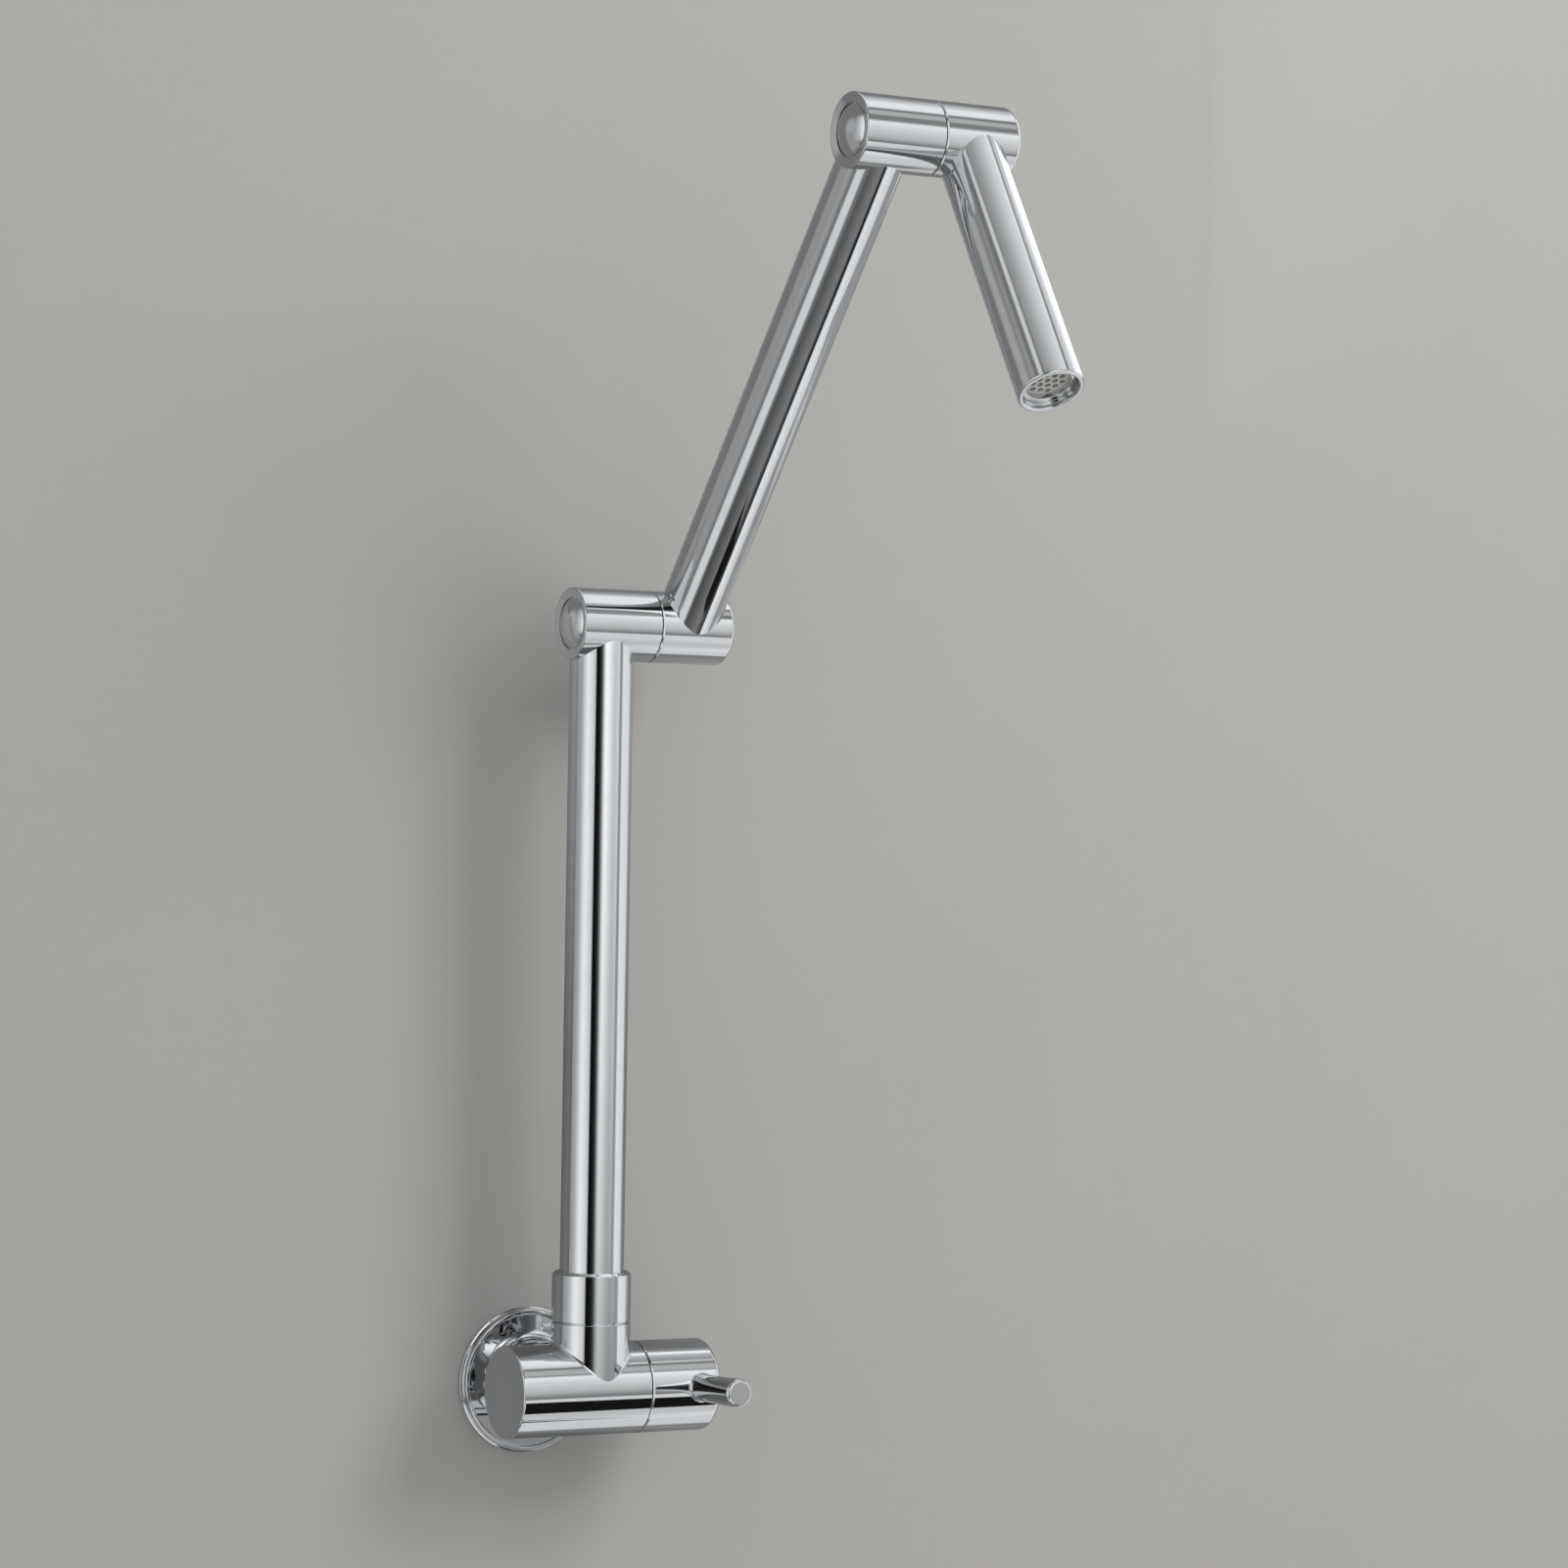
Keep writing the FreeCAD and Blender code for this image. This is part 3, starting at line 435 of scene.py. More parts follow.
branch_top_runs = rounded([
    (BRANCH_R, 0),
    (BRANCH_R, BRANCH_TOP - SEAM_CHAMFER),
    (BRANCH_R - SEAM_CHAMFER, BRANCH_TOP),
    (NIPPLE_R, BRANCH_TOP),
    (NIPPLE_R, NIPPLE_TOP),
    (SPIGOT_BORE_R, NIPPLE_TOP),
    (SPIGOT_BORE_R, SPIGOT_FLOOR),
    (0, SPIGOT_FLOOR),
])[:-1]
branch = rooted_post(BRANCH_R, VALVE_R, BRANCH_FORWARD, BRANCH_BLEND, branch_top_runs)
branch_piece = branch.piece("valve_branch_skin", lying(BRANCH_X, BRANCH_Y, 0), CAST_CHROME)
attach(branch_piece, "wall_group")


# Handle. The right end of the valve's cylinder turns on the cartridge's spindle. It is one casting
# with its lever, a round pin that swells a little towards its flat tip and meets the cylinder in a
# hollow round. Polished and chrome plated.

HANDLE_X = 27.95
HANDLE_END = 58.05
HANDLE_END_ROUND = 2.0
HANDLE_CAVITY_R = 14.18
HANDLE_FLOOR = 37.9
LEVER_X = 49.55
LEVER_LIFT = 1.8
LEVER_FOOT_R = 5.3
LEVER_TIP_R = 5.6
LEVER_REACH = 48.4
LEVER_TIP_ROUND = 1.4
LEVER_BLEND = 0.9

knob = turned([
    (0, HANDLE_FLOOR),
    (HANDLE_CAVITY_R, HANDLE_FLOOR),
    (HANDLE_CAVITY_R, HANDLE_X),
    (VALVE_R - SEAM_CHAMFER, HANDLE_X),
    (VALVE_R, HANDLE_X + SEAM_CHAMFER),
    (VALVE_R, HANDLE_END, HANDLE_END_ROUND),
    (0, HANDLE_END),
])
knob_piece = knob.piece("handle_barrel_skin", valve_axis, CAST_CHROME)
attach(knob_piece, "handle_group")
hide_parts("handle")

lever_runs = rounded([
    (0, 0),
    (LEVER_FOOT_R, 0),
    (LEVER_TIP_R, LEVER_REACH, LEVER_TIP_ROUND),
    (0, LEVER_REACH),
])[1:-1]
lever = rooted_post(LEVER_FOOT_R, VALVE_R, 0, LEVER_BLEND, lever_runs, around=96, blend_steps=16)
lever_place = lying(LEVER_X, -VALVE_OUT, 0, ("X", 90 - LEVER_LIFT))
lever_piece = lever.piece("handle_lever_skin", lever_place, CAST_CHROME)
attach(lever_piece, "handle_group")


# Swivel nut. A turned brass collar of the branch's own diameter, screwed down over the foot of the
# lower tube so that the spout can turn but not lift. Its top edge is bevelled. Chrome plated.

TURNED_CHROME = chrome("turned_chrome", waviness=0.8e-6, lathe_marks=4.0e-9)
TUBE_R = 12.5
NUT_THREAD_R = NIPPLE_R + 0.05
NUT_BORE_R = TUBE_R + RUNNING_FIT
NUT_LOW = BRANCH_TOP + 0.25
NUT_LIP = 40.8
NUT_TOP = 46.1
NUT_BEVEL = 1.1

nut = turned([
    (NUT_THREAD_R, NUT_LOW),
    (BRANCH_R - SEAM_CHAMFER, NUT_LOW),
    (BRANCH_R, NUT_LOW + SEAM_CHAMFER),
    (BRANCH_R, NUT_TOP - NUT_BEVEL, 0.5),
    (BRANCH_R - NUT_BEVEL, NUT_TOP, 0.4),
    (NUT_BORE_R, NUT_TOP),
    (NUT_BORE_R, NUT_LIP),
    (NUT_THREAD_R, NUT_LIP),
])
nut_piece = nut.piece("swivel_nut_skin", lying(BRANCH_X, BRANCH_Y, 0), TURNED_CHROME)
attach(nut_piece, "wall_group")
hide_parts("swivel_nut")


# Spout tubes. Drawn brass tube, 25 mm across, cut to a saddle where it meets a joint and brazed to
# it before polishing. The last one is the nozzle, with a rolled rim.

TUBE_CHROME = chrome("tube_chrome", waviness=0.5e-6, lathe_marks=0.0)
TUBE_BORE_R = 11.0
JOINT_R = 14.15
SADDLE_OVERLAP = 0.15
FOOT_Z = 39.95
ELBOW_Z = 298.8
UPPER_LENGTH = 231.2
NOZZLE_LENGTH = 116.0
ARM_PITCH = 36.1
UPPER_LEAN = 40.2
NOZZLE_LEAN = 32.1
lean = math.radians(UPPER_LEAN)
WRIST_Y = BRANCH_Y - UPPER_LENGTH * math.sin(lean)
WRIST_Z = ELBOW_Z + UPPER_LENGTH * math.cos(lean)
AERATOR_BORE_R = 10.3
AERATOR_SEAT = 98.2
SEAT_STEP = 2.0
SEAT_BORE_R = 8.9
RIM_ROUND = 0.75


def saddle(radius, centre, direction, around):
    """Heights of a ring of this radius where it meets a joint's cylinder across the tube."""
    heights = []
    for k in range(around):
        s = math.sin(FULL_TURN * k / around)
        depth = math.sqrt(JOINT_R ** 2 - (radius * s) ** 2) - SADDLE_OVERLAP
        heights.append(centre + direction * depth)
    return heights


def tube(name, place, body, node, low, high=None, mouth_runs=(), around=128):
    """Tube between two ends, each a height, or a joint's height and the way to it for a saddle.

    The nozzle has no high end. Its mouth_runs go up its outside, round the rim and down its bore.
    """
    def end_ring(radius, end, out):
        height = saddle(radius, *end, around) if isinstance(end, tuple) else end
        return ring(radius, height, (out, 0), around)

    def facing(row, up):
        return [(point, (0, 0, up)) for point, normal in row]

    skin = Skin()
    outer_low, inner_low = end_ring(TUBE_R, low, 1), end_ring(TUBE_BORE_R, low, -1)
    skin.grid([facing(inner_low, -1), facing(outer_low, -1)])
    if high is not None:
        outer_high, inner_high = end_ring(TUBE_R, high, 1), end_ring(TUBE_BORE_R, high, -1)
        skin.grid([outer_low, outer_high])
        skin.grid([facing(outer_high, 1), facing(inner_high, 1)])
        skin.grid([inner_high, inner_low])
    for run in mouth_runs:
        rows = rings(run, around)
        if run is mouth_runs[0]:
            rows[0] = outer_low
        if run is mouth_runs[-1]:
            rows[-1] = inner_low
        skin.grid(rows)
    made = skin.piece(name, place, TUBE_CHROME)
    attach(made, body)
    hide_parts(node)


tube("lower_tube_skin", lying(BRANCH_X, BRANCH_Y, 0), "lower_arm", "lower_tube",
     FOOT_Z, (ELBOW_Z, -1))
upper_place = lying(BRANCH_X + ARM_PITCH, BRANCH_Y, ELBOW_Z, ("X", UPPER_LEAN))
tube("upper_tube_skin", upper_place, "upper_arm", "upper_tube", (0, 1), (UPPER_LENGTH, -1))
nozzle_runs = rounded([
    (TUBE_R, 0),
    (TUBE_R, NOZZLE_LENGTH, RIM_ROUND),
    (AERATOR_BORE_R, NOZZLE_LENGTH, RIM_ROUND),
    (AERATOR_BORE_R, AERATOR_SEAT),
    (SEAT_BORE_R, AERATOR_SEAT),
    (SEAT_BORE_R, AERATOR_SEAT - SEAT_STEP),
    (TUBE_BORE_R, AERATOR_SEAT - SEAT_STEP),
    (TUBE_BORE_R, 0),
])[:-1]
nozzle_place = lying(BRANCH_X + 2 * ARM_PITCH, WRIST_Y, WRIST_Z, ("X", 180 - NOZZLE_LEAN))
tube("nozzle_tube_skin", nozzle_place, "nozzle", "nozzle_tube", (0, 1), mouth_runs=nozzle_runs)


# Folding joints, the elbow and the wrist alike. Two turned brass halves meet at a fine bevelled
# seam; the left one has a recess for the nut, closed by a domed button, and the right one ends in a
# plain face with a soft edge. Chrome plated.

JOINT_LEFT = 14.1
JOINT_SEAM = 20.0
HALF_SEAM = 0.125
JOINT_RIGHT = 51.9
JOINT_LEFT_ROUND = 0.7
JOINT_RIGHT_ROUND = 1.6
RECESS_R = 10.35
RECESS_FLOOR = -9.1
END_DISH = 0.7
END_FLAT_R = 13.25
CHAMBER_BORE_R = 6.98
CHAMBER_END = 40.5
FACE_RING_R = 12.45
FACE_RING_FLOOR = 18.475
DOME_R = 9.85
DOME_RIM = -13.2
DOME_CROWN = -16.5
BUTTON_SKIRT_R = 10.3
BUTTON_BACK = -12.4
BUTTON_SKIRT = 0.4
DOME_STEPS = 16
BUTTON_AROUND = 96

joints = {
    "elbow": ("lower_arm", "upper_arm", (BRANCH_X, BRANCH_Y, ELBOW_Z)),
    "wrist": ("upper_arm", "nozzle", (BRANCH_X + ARM_PITCH, WRIST_Y, WRIST_Z)),
}


def left_half():
    left, seam = -JOINT_LEFT, JOINT_SEAM - HALF_SEAM
    return turned([
        (CHAMBER_BORE_R, RECESS_FLOOR),
        (RECESS_R, RECESS_FLOOR),
        (RECESS_R, left + END_DISH),
        (END_FLAT_R, left),
        (JOINT_R, left, JOINT_LEFT_ROUND),
        (JOINT_R, seam - SEAM_CHAMFER),
        (JOINT_R - SEAM_CHAMFER, seam),
        (FACE_RING_R, seam),
        (FACE_RING_R, FACE_RING_FLOOR),
        (CHAMBER_BORE_R, FACE_RING_FLOOR),
    ])


def right_half():
    seam = JOINT_SEAM + HALF_SEAM
    return turned([
        (CHAMBER_BORE_R, seam),
        (JOINT_R - SEAM_CHAMFER, seam),
        (JOINT_R, seam + SEAM_CHAMFER),
        (JOINT_R, JOINT_RIGHT, JOINT_RIGHT_ROUND),
        (0, JOINT_RIGHT),
        (0, CHAMBER_END),
        (CHAMBER_BORE_R, CHAMBER_END),
    ])


def button():
    """Domed cap with a skirt that is pressed into the recess."""
    height = DOME_RIM - DOME_CROWN
    sphere_r = (DOME_R ** 2 + height ** 2) / (2 * height)
    half_angle = math.asin(DOME_R / sphere_r)
    dome = []
    for k in range(DOME_STEPS + 1):
        angle = half_angle * k / DOME_STEPS
        station = DOME_CROWN + sphere_r * (1 - math.cos(angle))
        dome.append((sphere_r * math.sin(angle), station, (math.sin(angle), -math.cos(angle))))
    skirt = rounded([
        (0, DOME_RIM),
        (DOME_R, DOME_RIM),
        (DOME_R, BUTTON_BACK - BUTTON_SKIRT),
        (BUTTON_SKIRT_R, BUTTON_BACK - BUTTON_SKIRT),
        (BUTTON_SKIRT_R, BUTTON_BACK),
        (0, BUTTON_BACK),
    ])[1:-1]
    skin = Skin()
    for run in [dome] + skirt:
        skin.grid(rings(run, BUTTON_AROUND))
    return skin


for joint, (left_body, right_body, centre) in joints.items():
    axis = lying(*centre, ("Y", 90))
    for make, side, body, node in (
        (left_half, "left_half", left_body, "left_housing"),
        (right_half, "right_half", right_body, "right_housing"),
        (button, "button", left_body, "button"),
    ):
        made = make().piece(f"{joint}_{side}_skin", axis, TURNED_CHROME)
        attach(made, body)
        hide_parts(f"{joint}_{node}")


# Inner pieces. Brass nipple, spindles and cartridge, stainless springs and screws, alumina discs,
# acetal bearing rings and rubber seals, as they come from their makers.

def inner_material(name, colour, metallic, roughness, grain, depth):
    """Unplated material with a fine grain, whose height is in metres."""
    material = bpy.data.materials.new(name)
    tree = Tree(material)
    place = tree.add("ShaderNodeTexCoord").out("Object")
    noise = tree.add("ShaderNodeTexNoise", {}, Vector=place, Scale=grain, Detail=5.0, Roughness=0.6)
    fac = noise.out("Fac")
    darker = tuple(c * 0.72 for c in colour)
    tone = tree.add("ShaderNodeMix", {"data_type": "RGBA"}, (fac * 1.6 - 0.4).clamped(),
                    A=(*darker, 1), B=(*colour, 1))
    bump = tree.add("ShaderNodeBump", {}, Strength=1.0, Distance=1.0, Height=fac * depth)
    shader = tree.add("ShaderNodeBsdfPrincipled", {}, Base_Color=tone.out("Result"), Metallic=metallic,
                      Roughness=fac * 0.15 + roughness, Normal=bump.out("Normal"))
    tree.add("ShaderNodeOutputMaterial", {}, shader.out())
    return material


inner = {
    "chrome": TURNED_CHROME,
    "raw_brass": inner_material("turned_brass", (0.70, 0.50, 0.22), 1.0, 0.22, 900.0, 4e-6),
    "stainless": inner_material("stainless_steel", (0.56, 0.55, 0.53), 1.0, 0.25, 1500.0, 3e-6),
    "ceramic": inner_material("alumina", (0.80, 0.79, 0.75), 0.0, 0.15, 2500.0, 1e-6),
    "rubber": inner_material("nitrile_rubber", (0.035, 0.035, 0.037), 0.0, 0.5, 1800.0, 6e-6),
    "white_plastic": inner_material("acetal", (0.74, 0.74, 0.71), 0.0, 0.35, 1200.0, 5e-6),
}
slots = {entry["node"]: entry["material_slot"] for entry in frame["record"]["subparts"]}
for node, part in frame["nodes"].items():
    part.data.materials.clear()
    part.data.materials.append(inner[slots[node]])


# Studio. The tap is fixed to a plain grey wall over a pale floor, lit softly from the upper right.
# Bright chrome shows its surroundings and little else, so its reflections get a ring of soft
# panels with dark gaps between them, as a photographer sets them up round polished metal.

FLOOR_DROP = 0.7
STUDIO_SPAN = 5.0


def board(name, corners, material):
    """Flat sheet of the studio, from its corners."""
    mesh = bpy.data.meshes.new(name)
    mesh.from_pydata(corners, [], [list(range(len(corners)))])
    mesh.materials.append(material)
    made = bpy.data.objects.new(name, mesh)
    bpy.context.scene.collection.objects.link(made)
    return made


def matt(name, colour, see_through_back):
    """Plain matt paint. A wall seen from behind is left out of the picture."""
    material = bpy.data.materials.new(name)
    tree = Tree(material)
    place = tree.add("ShaderNodeTexCoord").out("Object")
    mottle = tree.add("ShaderNodeTexNoise", {}, Vector=place, Scale=7.0, Detail=5.0, Roughness=0.55)
    pale = tuple(min(c * 1.04, 1.0) for c in colour)
    tone = tree.add("ShaderNodeMix", {"data_type": "RGBA"}, mottle.out("Fac"), A=(*colour, 1), B=(*pale, 1))
    paint = tree.add("ShaderNodeBsdfPrincipled", {}, Base_Color=tone.out("Result"), Roughness=0.85)
    result = paint.out()
    if see_through_back:
        behind = tree.add("ShaderNodeNewGeometry").out("Backfacing")
        seen = tree.add("ShaderNodeLightPath").out("Is Camera Ray")
        clear = tree.add("ShaderNodeBsdfTransparent")
        result = tree.add("ShaderNodeMixShader", {}, behind * seen, result, clear.out()).out()
    tree.add("ShaderNodeOutputMaterial", {}, result)
    return material


wall = board("wall", [
    (-STUDIO_SPAN, 0, -FLOOR_DROP),
    (STUDIO_SPAN, 0, -FLOOR_DROP),
    (STUDIO_SPAN, 0, STUDIO_SPAN),
    (-STUDIO_SPAN, 0, STUDIO_SPAN),
], matt("wall_paint", (0.36, 0.352, 0.34), see_through_back=True))
floor = board("floor", [
    (-STUDIO_SPAN, -STUDIO_SPAN, -FLOOR_DROP),
    (STUDIO_SPAN, -STUDIO_SPAN, -FLOOR_DROP),
    (STUDIO_SPAN, STUDIO_SPAN, -FLOOR_DROP),
    (-STUDIO_SPAN, STUDIO_SPAN, -FLOOR_DROP),
], matt("floor_paint", (0.66, 0.66, 0.65), see_through_back=False))
for sheet in (wall, floor):
    sheet.visible_glossy = False

world = bpy.data.worlds.new("studio")
bpy.context.scene.world = world
tree = Tree(world)
direction = tree.add("ShaderNodeSeparateXYZ", {}, tree.add("ShaderNodeTexCoord").out("Generated"))
x, y, z = (direction.out(axis) for axis in "XYZ")
DEGREES = 180 / math.pi
azimuth = x.work("ARCTAN2", 0 - y) * DEGREES
elevation = z.work("ARCSINE") * DEGREES
COOL_WHITE = (0.985, 1.0, 1.012)


def ease(ramp):
    """Softens the two ends of a 0 to 1 ramp."""
    ramp = ramp.clamped()
    return ramp * ramp * (3 - 2 * ramp)


def box(left, right, low, high, soft_side, soft_end):
    """Mask of a panel between two azimuths and two elevations, in degrees, with soft edges.

    Azimuth 0 looks away from the wall and 90 looks right. A pair of softnesses is left and right, or
    low and high.
    """
    if not isinstance(soft_side, tuple):
        soft_side = (soft_side, soft_side)
    if not isinstance(soft_end, tuple):
        soft_end = (soft_end, soft_end)
    sides = ease((azimuth - left) / soft_side[0] + 0.5) * ease((right - azimuth) / soft_side[1] + 0.5)
    ends = ease((elevation - low) / soft_end[0] + 0.5) * ease((high - elevation) / soft_end[1] + 0.5)
    return sides * ends


def spot(toward, up, radius, soft):
    """Mask of a round panel about a direction."""
    a, e = math.radians(toward), math.radians(up)
    near = x * (math.sin(a) * math.cos(e)) - y * (math.cos(a) * math.cos(e)) + z * math.sin(e)
    away = near.work("ARCCOSINE") * DEGREES
    return ease((radius - away) / soft + 0.5)


def slope(value, start, end, first, last):
    """Light that changes evenly between two angles."""
    return ((value - start) / (end - start)).clamped() * (last - first) + first


# Each panel covers what is before it in this list.
light = 0.235
for mask, level in (
    # pale floor all round, lightest in front of the right-hand panel
    (box(-40, 123, -90, -12, (20, 18), (1, 3)),
     slope(azimuth, 44, 62, 0.74, 0.86) * slope(elevation, -46, -37, 1.0, 1.23)),
    (spot(71, -52, 8, 8), 1.08),
    (spot(-82.5, -44.5, 11.5, 8), 0.9),
    # dark table edge under the tap
    (box(-76, 49, -90, -58, (14, 8), 5), slope(azimuth, -75, 15, 0.08, 0.25)),
    (box(38, 57, -80, -57.3, (8, 3), 1.5), slope(elevation, -68, -61, 0.16, 0.03)),
    (box(49, 65, -80, -59.4, (3, 4), 1), slope(elevation, -68, -61, 0.16, 0.03)),
    # right-hand panel, from the floor up to the tall lamp behind it
    (box(40, 62, -12, 36, 6, 6), 0.42),
    (box(57.5, 106, -40, 34, (8, 24), 12), slope(azimuth, 62, 104, 1.08, 0.95)),
    (box(72, 98, 36, 50, 8, 8), 0.83),
    # patches of wall that catch light
    (spot(-121, 10, 16, 14), 0.5),
    (box(-138, -100, -32, 0, (10, 14), 8), 0.4),
    (box(92, 132, -42, -4, (12, 12), (8, 10)), 0.4),
    (box(150, 190, -10, 30, 12, 12), 0.3),
    # thin light line above the front panel
    (box(22, 52, 37.2, 49, 5, 5), 0.6),
    # dark gap where the camera stands
    (box(-45, -17, -24, 55, (7, 14), 8), slope(azimuth, -33, -19, 0.006, 0.1)),
    # left-hand panel
    (box(-97, -46, -22, 34, (40, 7), 10),
     slope(azimuth, -92, -75, 0.93, 1.18) * slope(azimuth, -70, -48, 1.0, 0.68)),
    (box(-86, -70, 43, 51, 6, 6), 0.85),
    # ceiling panel, and the wall under it
    (spot(60, 90, 36.5, 5), slope(azimuth, -58, 62, 0.42, 1.02) + box(58, 150, 0, 90, 16, 4) * 0.14),
    (box(100, 150, 46, 60, 22, (16, 6)), slope(azimuth, 112, 134, 0.8, 0.42)),
):
    light = light + mask * (level - light)
tint = tree.add("ShaderNodeVectorMath", {"operation": "SCALE"}, COOL_WHITE, Scale=light)
panels = tree.add("ShaderNodeBackground", {}, tint.out("Vector"), 1.0)
plain = tree.add("ShaderNodeBackground", {}, (0.86, 0.86, 0.86, 1), 1.0)
mirrored = tree.add("ShaderNodeLightPath").out("Is Glossy Ray")
mixed = tree.add("ShaderNodeMixShader", {}, mirrored, plain.out(), panels.out())
tree.add("ShaderNodeOutputWorld", {}, mixed.out())


def panel(name, corners, across, upward, strength):
    """Sheet of light that only reflections see. Its two ramps run along it and up it."""
    material = bpy.data.materials.new(name)
    tree = Tree(material)
    place = tree.add("ShaderNodeSeparateXYZ", {}, tree.add("ShaderNodeTexCoord").out("UV"))
    along = tree.add("ShaderNodeValToRGB", {"stops": across}, place.out("X")).out("Color")
    up = tree.add("ShaderNodeValToRGB", {"stops": upward}, place.out("Y")).out("Color")
    tint = tree.add("ShaderNodeVectorMath", {"operation": "SCALE"}, COOL_WHITE, Scale=along * up * strength)
    glow = tree.add("ShaderNodeEmission", {}, tint.out("Vector"), 1.0)
    tree.add("ShaderNodeOutputMaterial", {}, glow.out())
    sheet = board(name, corners, material)
    flat_map = sheet.data.uv_layers.new(name="sheet")
    for loop, corner in enumerate(((0, 0), (1, 0), (1, 1), (0, 1))):
        flat_map.data[loop].uv = corner
    sheet.visible_camera = False
    sheet.visible_diffuse = False
    sheet.visible_shadow = False


def upright(left, right, low, high):
    """Corners of an upright sheet over a line on the floor, from its left end to its right one."""
    return [(*left, low), (*right, low), (*right, high), (*left, high)]


EVEN = [(0.0, 1.0), (1.0, 1.0)]

# Front panel: an upright sheet 1.34 m out, brightest near its top and beside the camera.
FRONT_START = Vector((0.01, -0.04))
FRONT_AZIMUTH = math.radians(15)
FRONT_OUT = 1.34
FRONT_LEFT, FRONT_RIGHT = -1.3, 0.75
FRONT_LOW, FRONT_HIGH = -0.33, 1.15
front_middle = Vector((math.sin(FRONT_AZIMUTH), -math.cos(FRONT_AZIMUTH))) * FRONT_OUT + FRONT_START
front_side = Vector((math.cos(FRONT_AZIMUTH), math.sin(FRONT_AZIMUTH)))
panel(
    "front_panel",
    upright(front_middle + front_side * FRONT_LEFT, front_middle + front_side * FRONT_RIGHT,
            low=FRONT_LOW, high=FRONT_HIGH),
    across=[
        (0.0, 0.008), (0.03, 0.02), (0.122, 0.078), (0.209, 0.31), (0.287, 0.75), (0.357, 1.0),
        (0.422, 0.99), (0.483, 0.93), (0.542, 0.84), (0.6, 0.755), (0.657, 0.68), (0.715, 0.615),
        (0.773, 0.57), (0.898, 0.64), (0.967, 0.65), (1.0, 0.62),
    ],
    upward=[
        (0.0, 0.3), (0.03, 0.24), (0.06, 0.25), (0.11, 0.32), (0.168, 0.42), (0.19, 0.47),
        (0.255, 0.56), (0.33, 0.63), (0.4, 0.69), (0.47, 0.735), (0.55, 0.785), (0.65, 0.86),
        (0.75, 0.95), (0.81, 1.0), (0.85, 0.95), (0.9, 0.6), (0.95, 0.36), (1.0, 0.3),
    ],
    strength=1.95,
)

# Dark rail just below and in front of the valve. It is deeper at its left end.
RAIL_LEFT, RAIL_RIGHT = (0.07, -0.2554), (0.22, -0.1997)
panel(
    "dark_rail",
    [(*RAIL_LEFT, -0.262), (*RAIL_RIGHT, -0.175), (*RAIL_RIGHT, -0.076), (*RAIL_LEFT, -0.083)],
    across=[(0.0, 0.11), (0.05, 0.011), (1.0, 0.011)],
    upward=EVEN,
    strength=1.0,
)

# Dull card for the handle, lying flat above it and to its right.
CARD_Z = 0.303
CARD_LEFT, CARD_RIGHT = 0.165, 0.25
CARD_FRONT, CARD_BACK = -0.165, -0.04
panel(
    "handle_card",
    [
        (CARD_LEFT, CARD_FRONT, CARD_Z),
        (CARD_RIGHT, CARD_FRONT, CARD_Z),
        (CARD_RIGHT, CARD_BACK, CARD_Z),
        (CARD_LEFT, CARD_BACK, CARD_Z),
    ],
    across=EVEN,
    upward=[(0.0, 0.43), (0.38, 0.48), (0.58, 0.56), (0.84, 0.78), (1.0, 0.98)],
    strength=1.0,
)

# Lamp for the nozzle, standing on the right with its back end close to the wall.
LAMP_BACK, LAMP_FRONT = (0.325, -0.004), (0.64, -0.275)
panel(
    "side_lamp",
    [(*LAMP_BACK, 0.40), (*LAMP_FRONT, 0.70), (*LAMP_FRONT, 0.98), (*LAMP_BACK, 0.62)],
    across=[(0.0, 0.95), (0.1, 1.0), (0.35, 1.0), (0.6, 0.9), (0.8, 0.7), (1.0, 0.6)],
    upward=EVEN,
    strength=1.55,
)

# Dull flag for the wrist, where it shows above the front panel's image.
panel(
    "wrist_flag",
    upright((0.24, -0.595), (0.346, -0.523), low=0.664, high=0.764),
    across=EVEN,
    upward=[(0.0, 0.55), (0.3, 0.3), (0.6, 0.27), (1.0, 0.36)],
    strength=1.0,
)

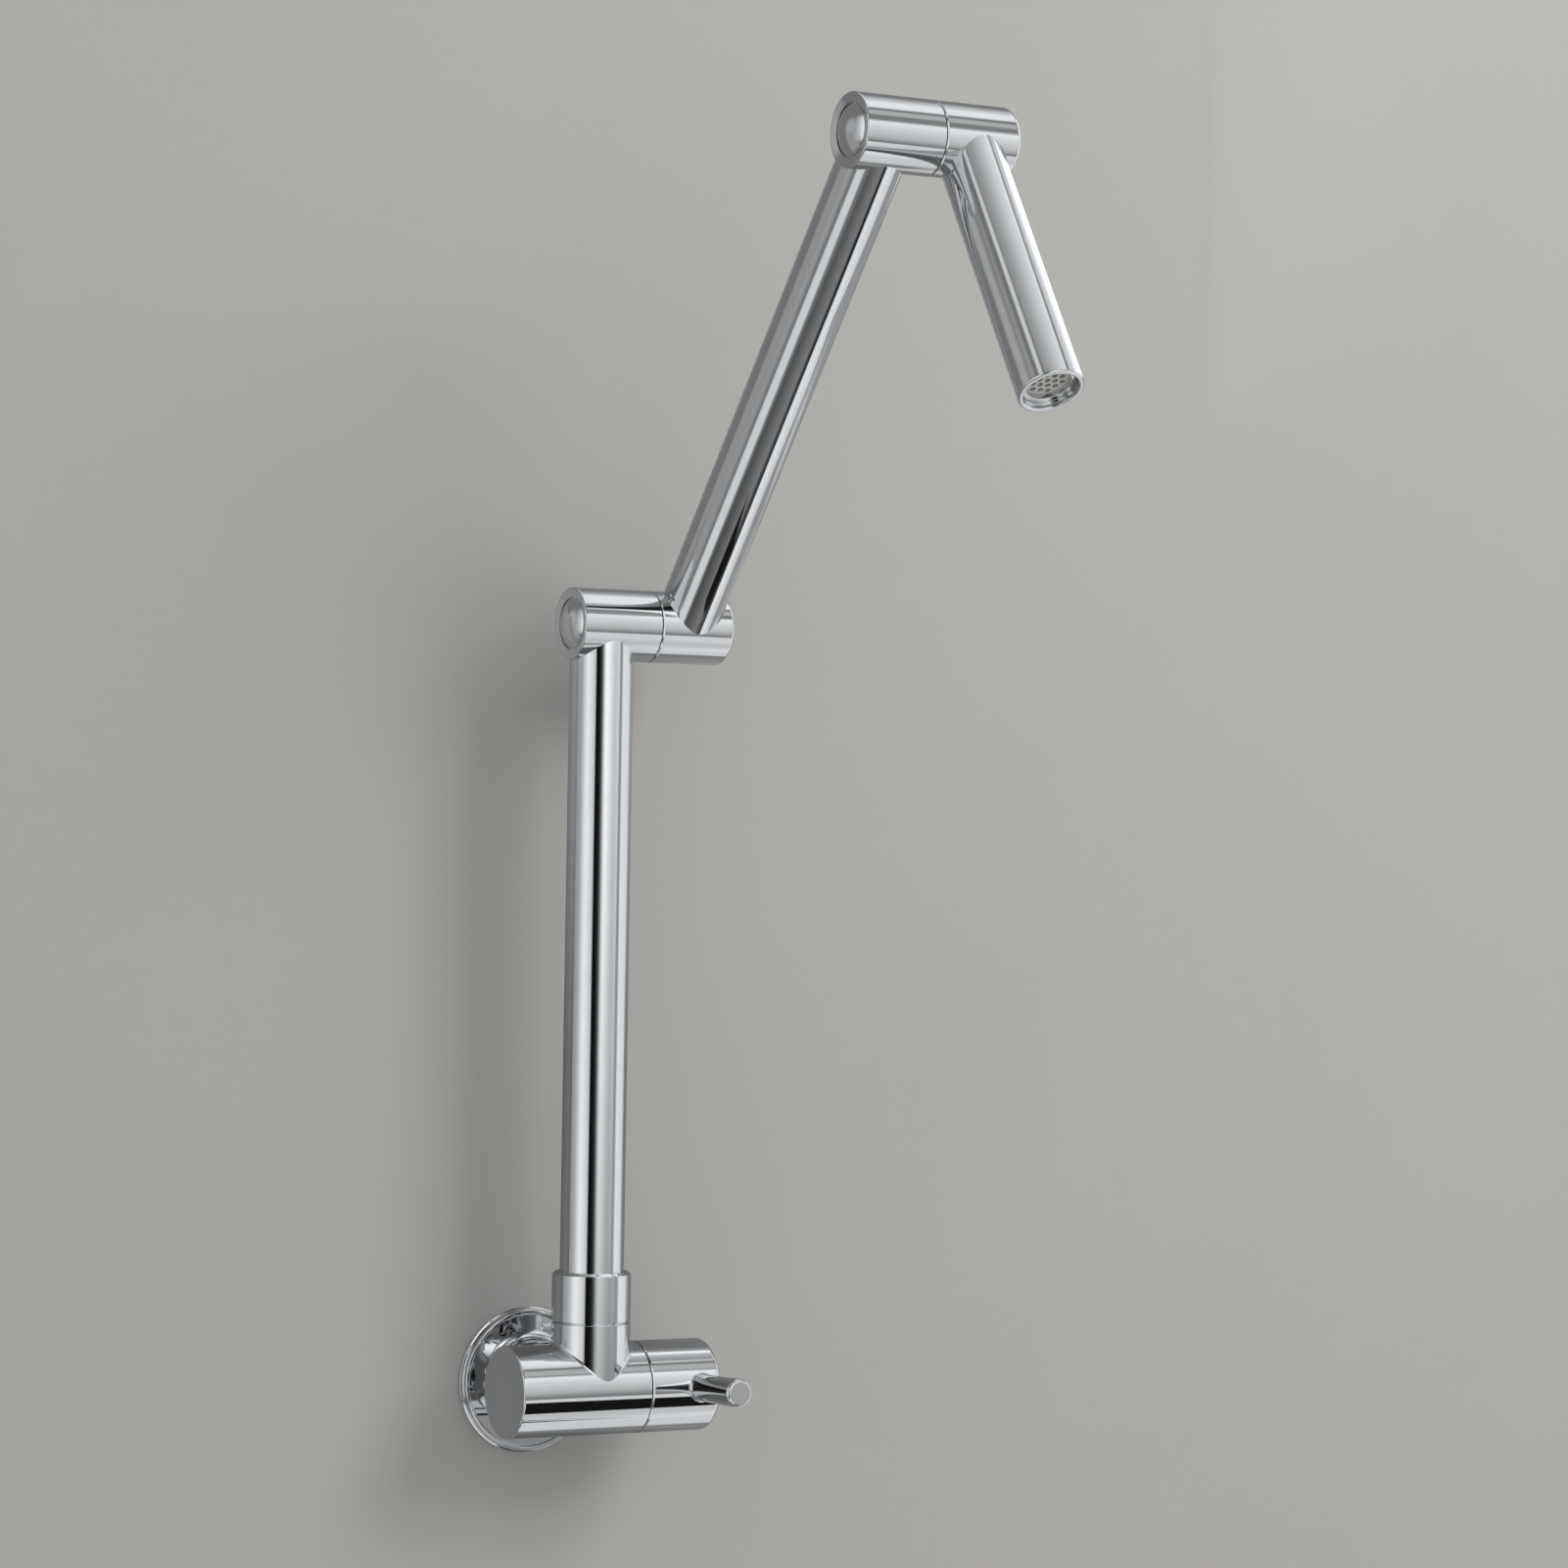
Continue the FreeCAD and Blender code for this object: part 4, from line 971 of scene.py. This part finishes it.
# The shaded wall behind the valve, a millimetre in front of the paint.
panel(
    "wall_shade",
    upright((-0.09, -0.001), (0.25, -0.001), low=-0.10, high=0.32),
    across=[
        (0.0, 0.6), (0.09, 0.68), (0.13, 0.75), (0.155, 0.72), (0.18, 0.66), (0.23, 0.55), (0.27, 0.43),
        (0.35, 0.42), (0.42, 0.6), (0.48, 0.72), (0.52, 0.77), (0.585, 0.82), (0.68, 0.93), (1.0, 1.0),
    ],
    upward=[(0.0, 0.22), (0.1, 0.15), (0.45, 0.135), (0.55, 0.135), (0.7, 0.185), (1.0, 0.25)],
    strength=2.15,
)

# Key light: one large soft lamp on the upper right, in front of the tap.
KEY_SIZE = 1.2
KEY_WATTS = 30.0
KEY_PLACE = Vector((1.2, -1.6, 1.5))
TAP_MIDDLE = Vector((0.03, -0.09, 0.24))
key_data = bpy.data.lights.new("key", "AREA")
key_data.size = KEY_SIZE
key_data.energy = KEY_WATTS
key = bpy.data.objects.new("key", key_data)
bpy.context.scene.collection.objects.link(key)
key_turn = (TAP_MIDDLE - KEY_PLACE).to_track_quat("-Z", "Y")
key.matrix_world = Matrix.Translation(KEY_PLACE) @ key_turn.to_matrix().to_4x4()
key.visible_glossy = False
key.visible_camera = False


# Camera. A long lens that looks from the left, about level with the middle of the spout. Its place,
# turns and focal length were worked out from the outlines of the tap itself.

PHOTO_PX = 1601
FOCAL_PX = 4682.9
SENSOR_MM = 36.0
CAMERA_PLACE = Vector((-0.808119, -1.641644, 0.203780))
HEADING, PITCH, ROLL = (math.radians(angle) for angle in (29.325, 1.076, 0.882))
forward = Vector((
    math.sin(HEADING) * math.cos(PITCH),
    math.cos(HEADING) * math.cos(PITCH),
    math.sin(PITCH),
))
level_right = Vector((math.cos(HEADING), -math.sin(HEADING), 0))
level_up = level_right.cross(forward)
right = level_right * math.cos(ROLL) + level_up * math.sin(ROLL)
up = level_up * math.cos(ROLL) - level_right * math.sin(ROLL)
camera_data = bpy.data.cameras.new("camera")
camera_data.sensor_width = SENSOR_MM
camera_data.lens = FOCAL_PX * SENSOR_MM / PHOTO_PX
camera = bpy.data.objects.new("camera", camera_data)
bpy.context.scene.collection.objects.link(camera)
camera_turn = Matrix((right, up, -forward)).transposed()
camera.matrix_world = Matrix.Translation(CAMERA_PLACE) @ camera_turn.to_4x4()
bpy.context.scene.camera = camera
bpy.context.scene.view_settings.view_transform = "Standard"
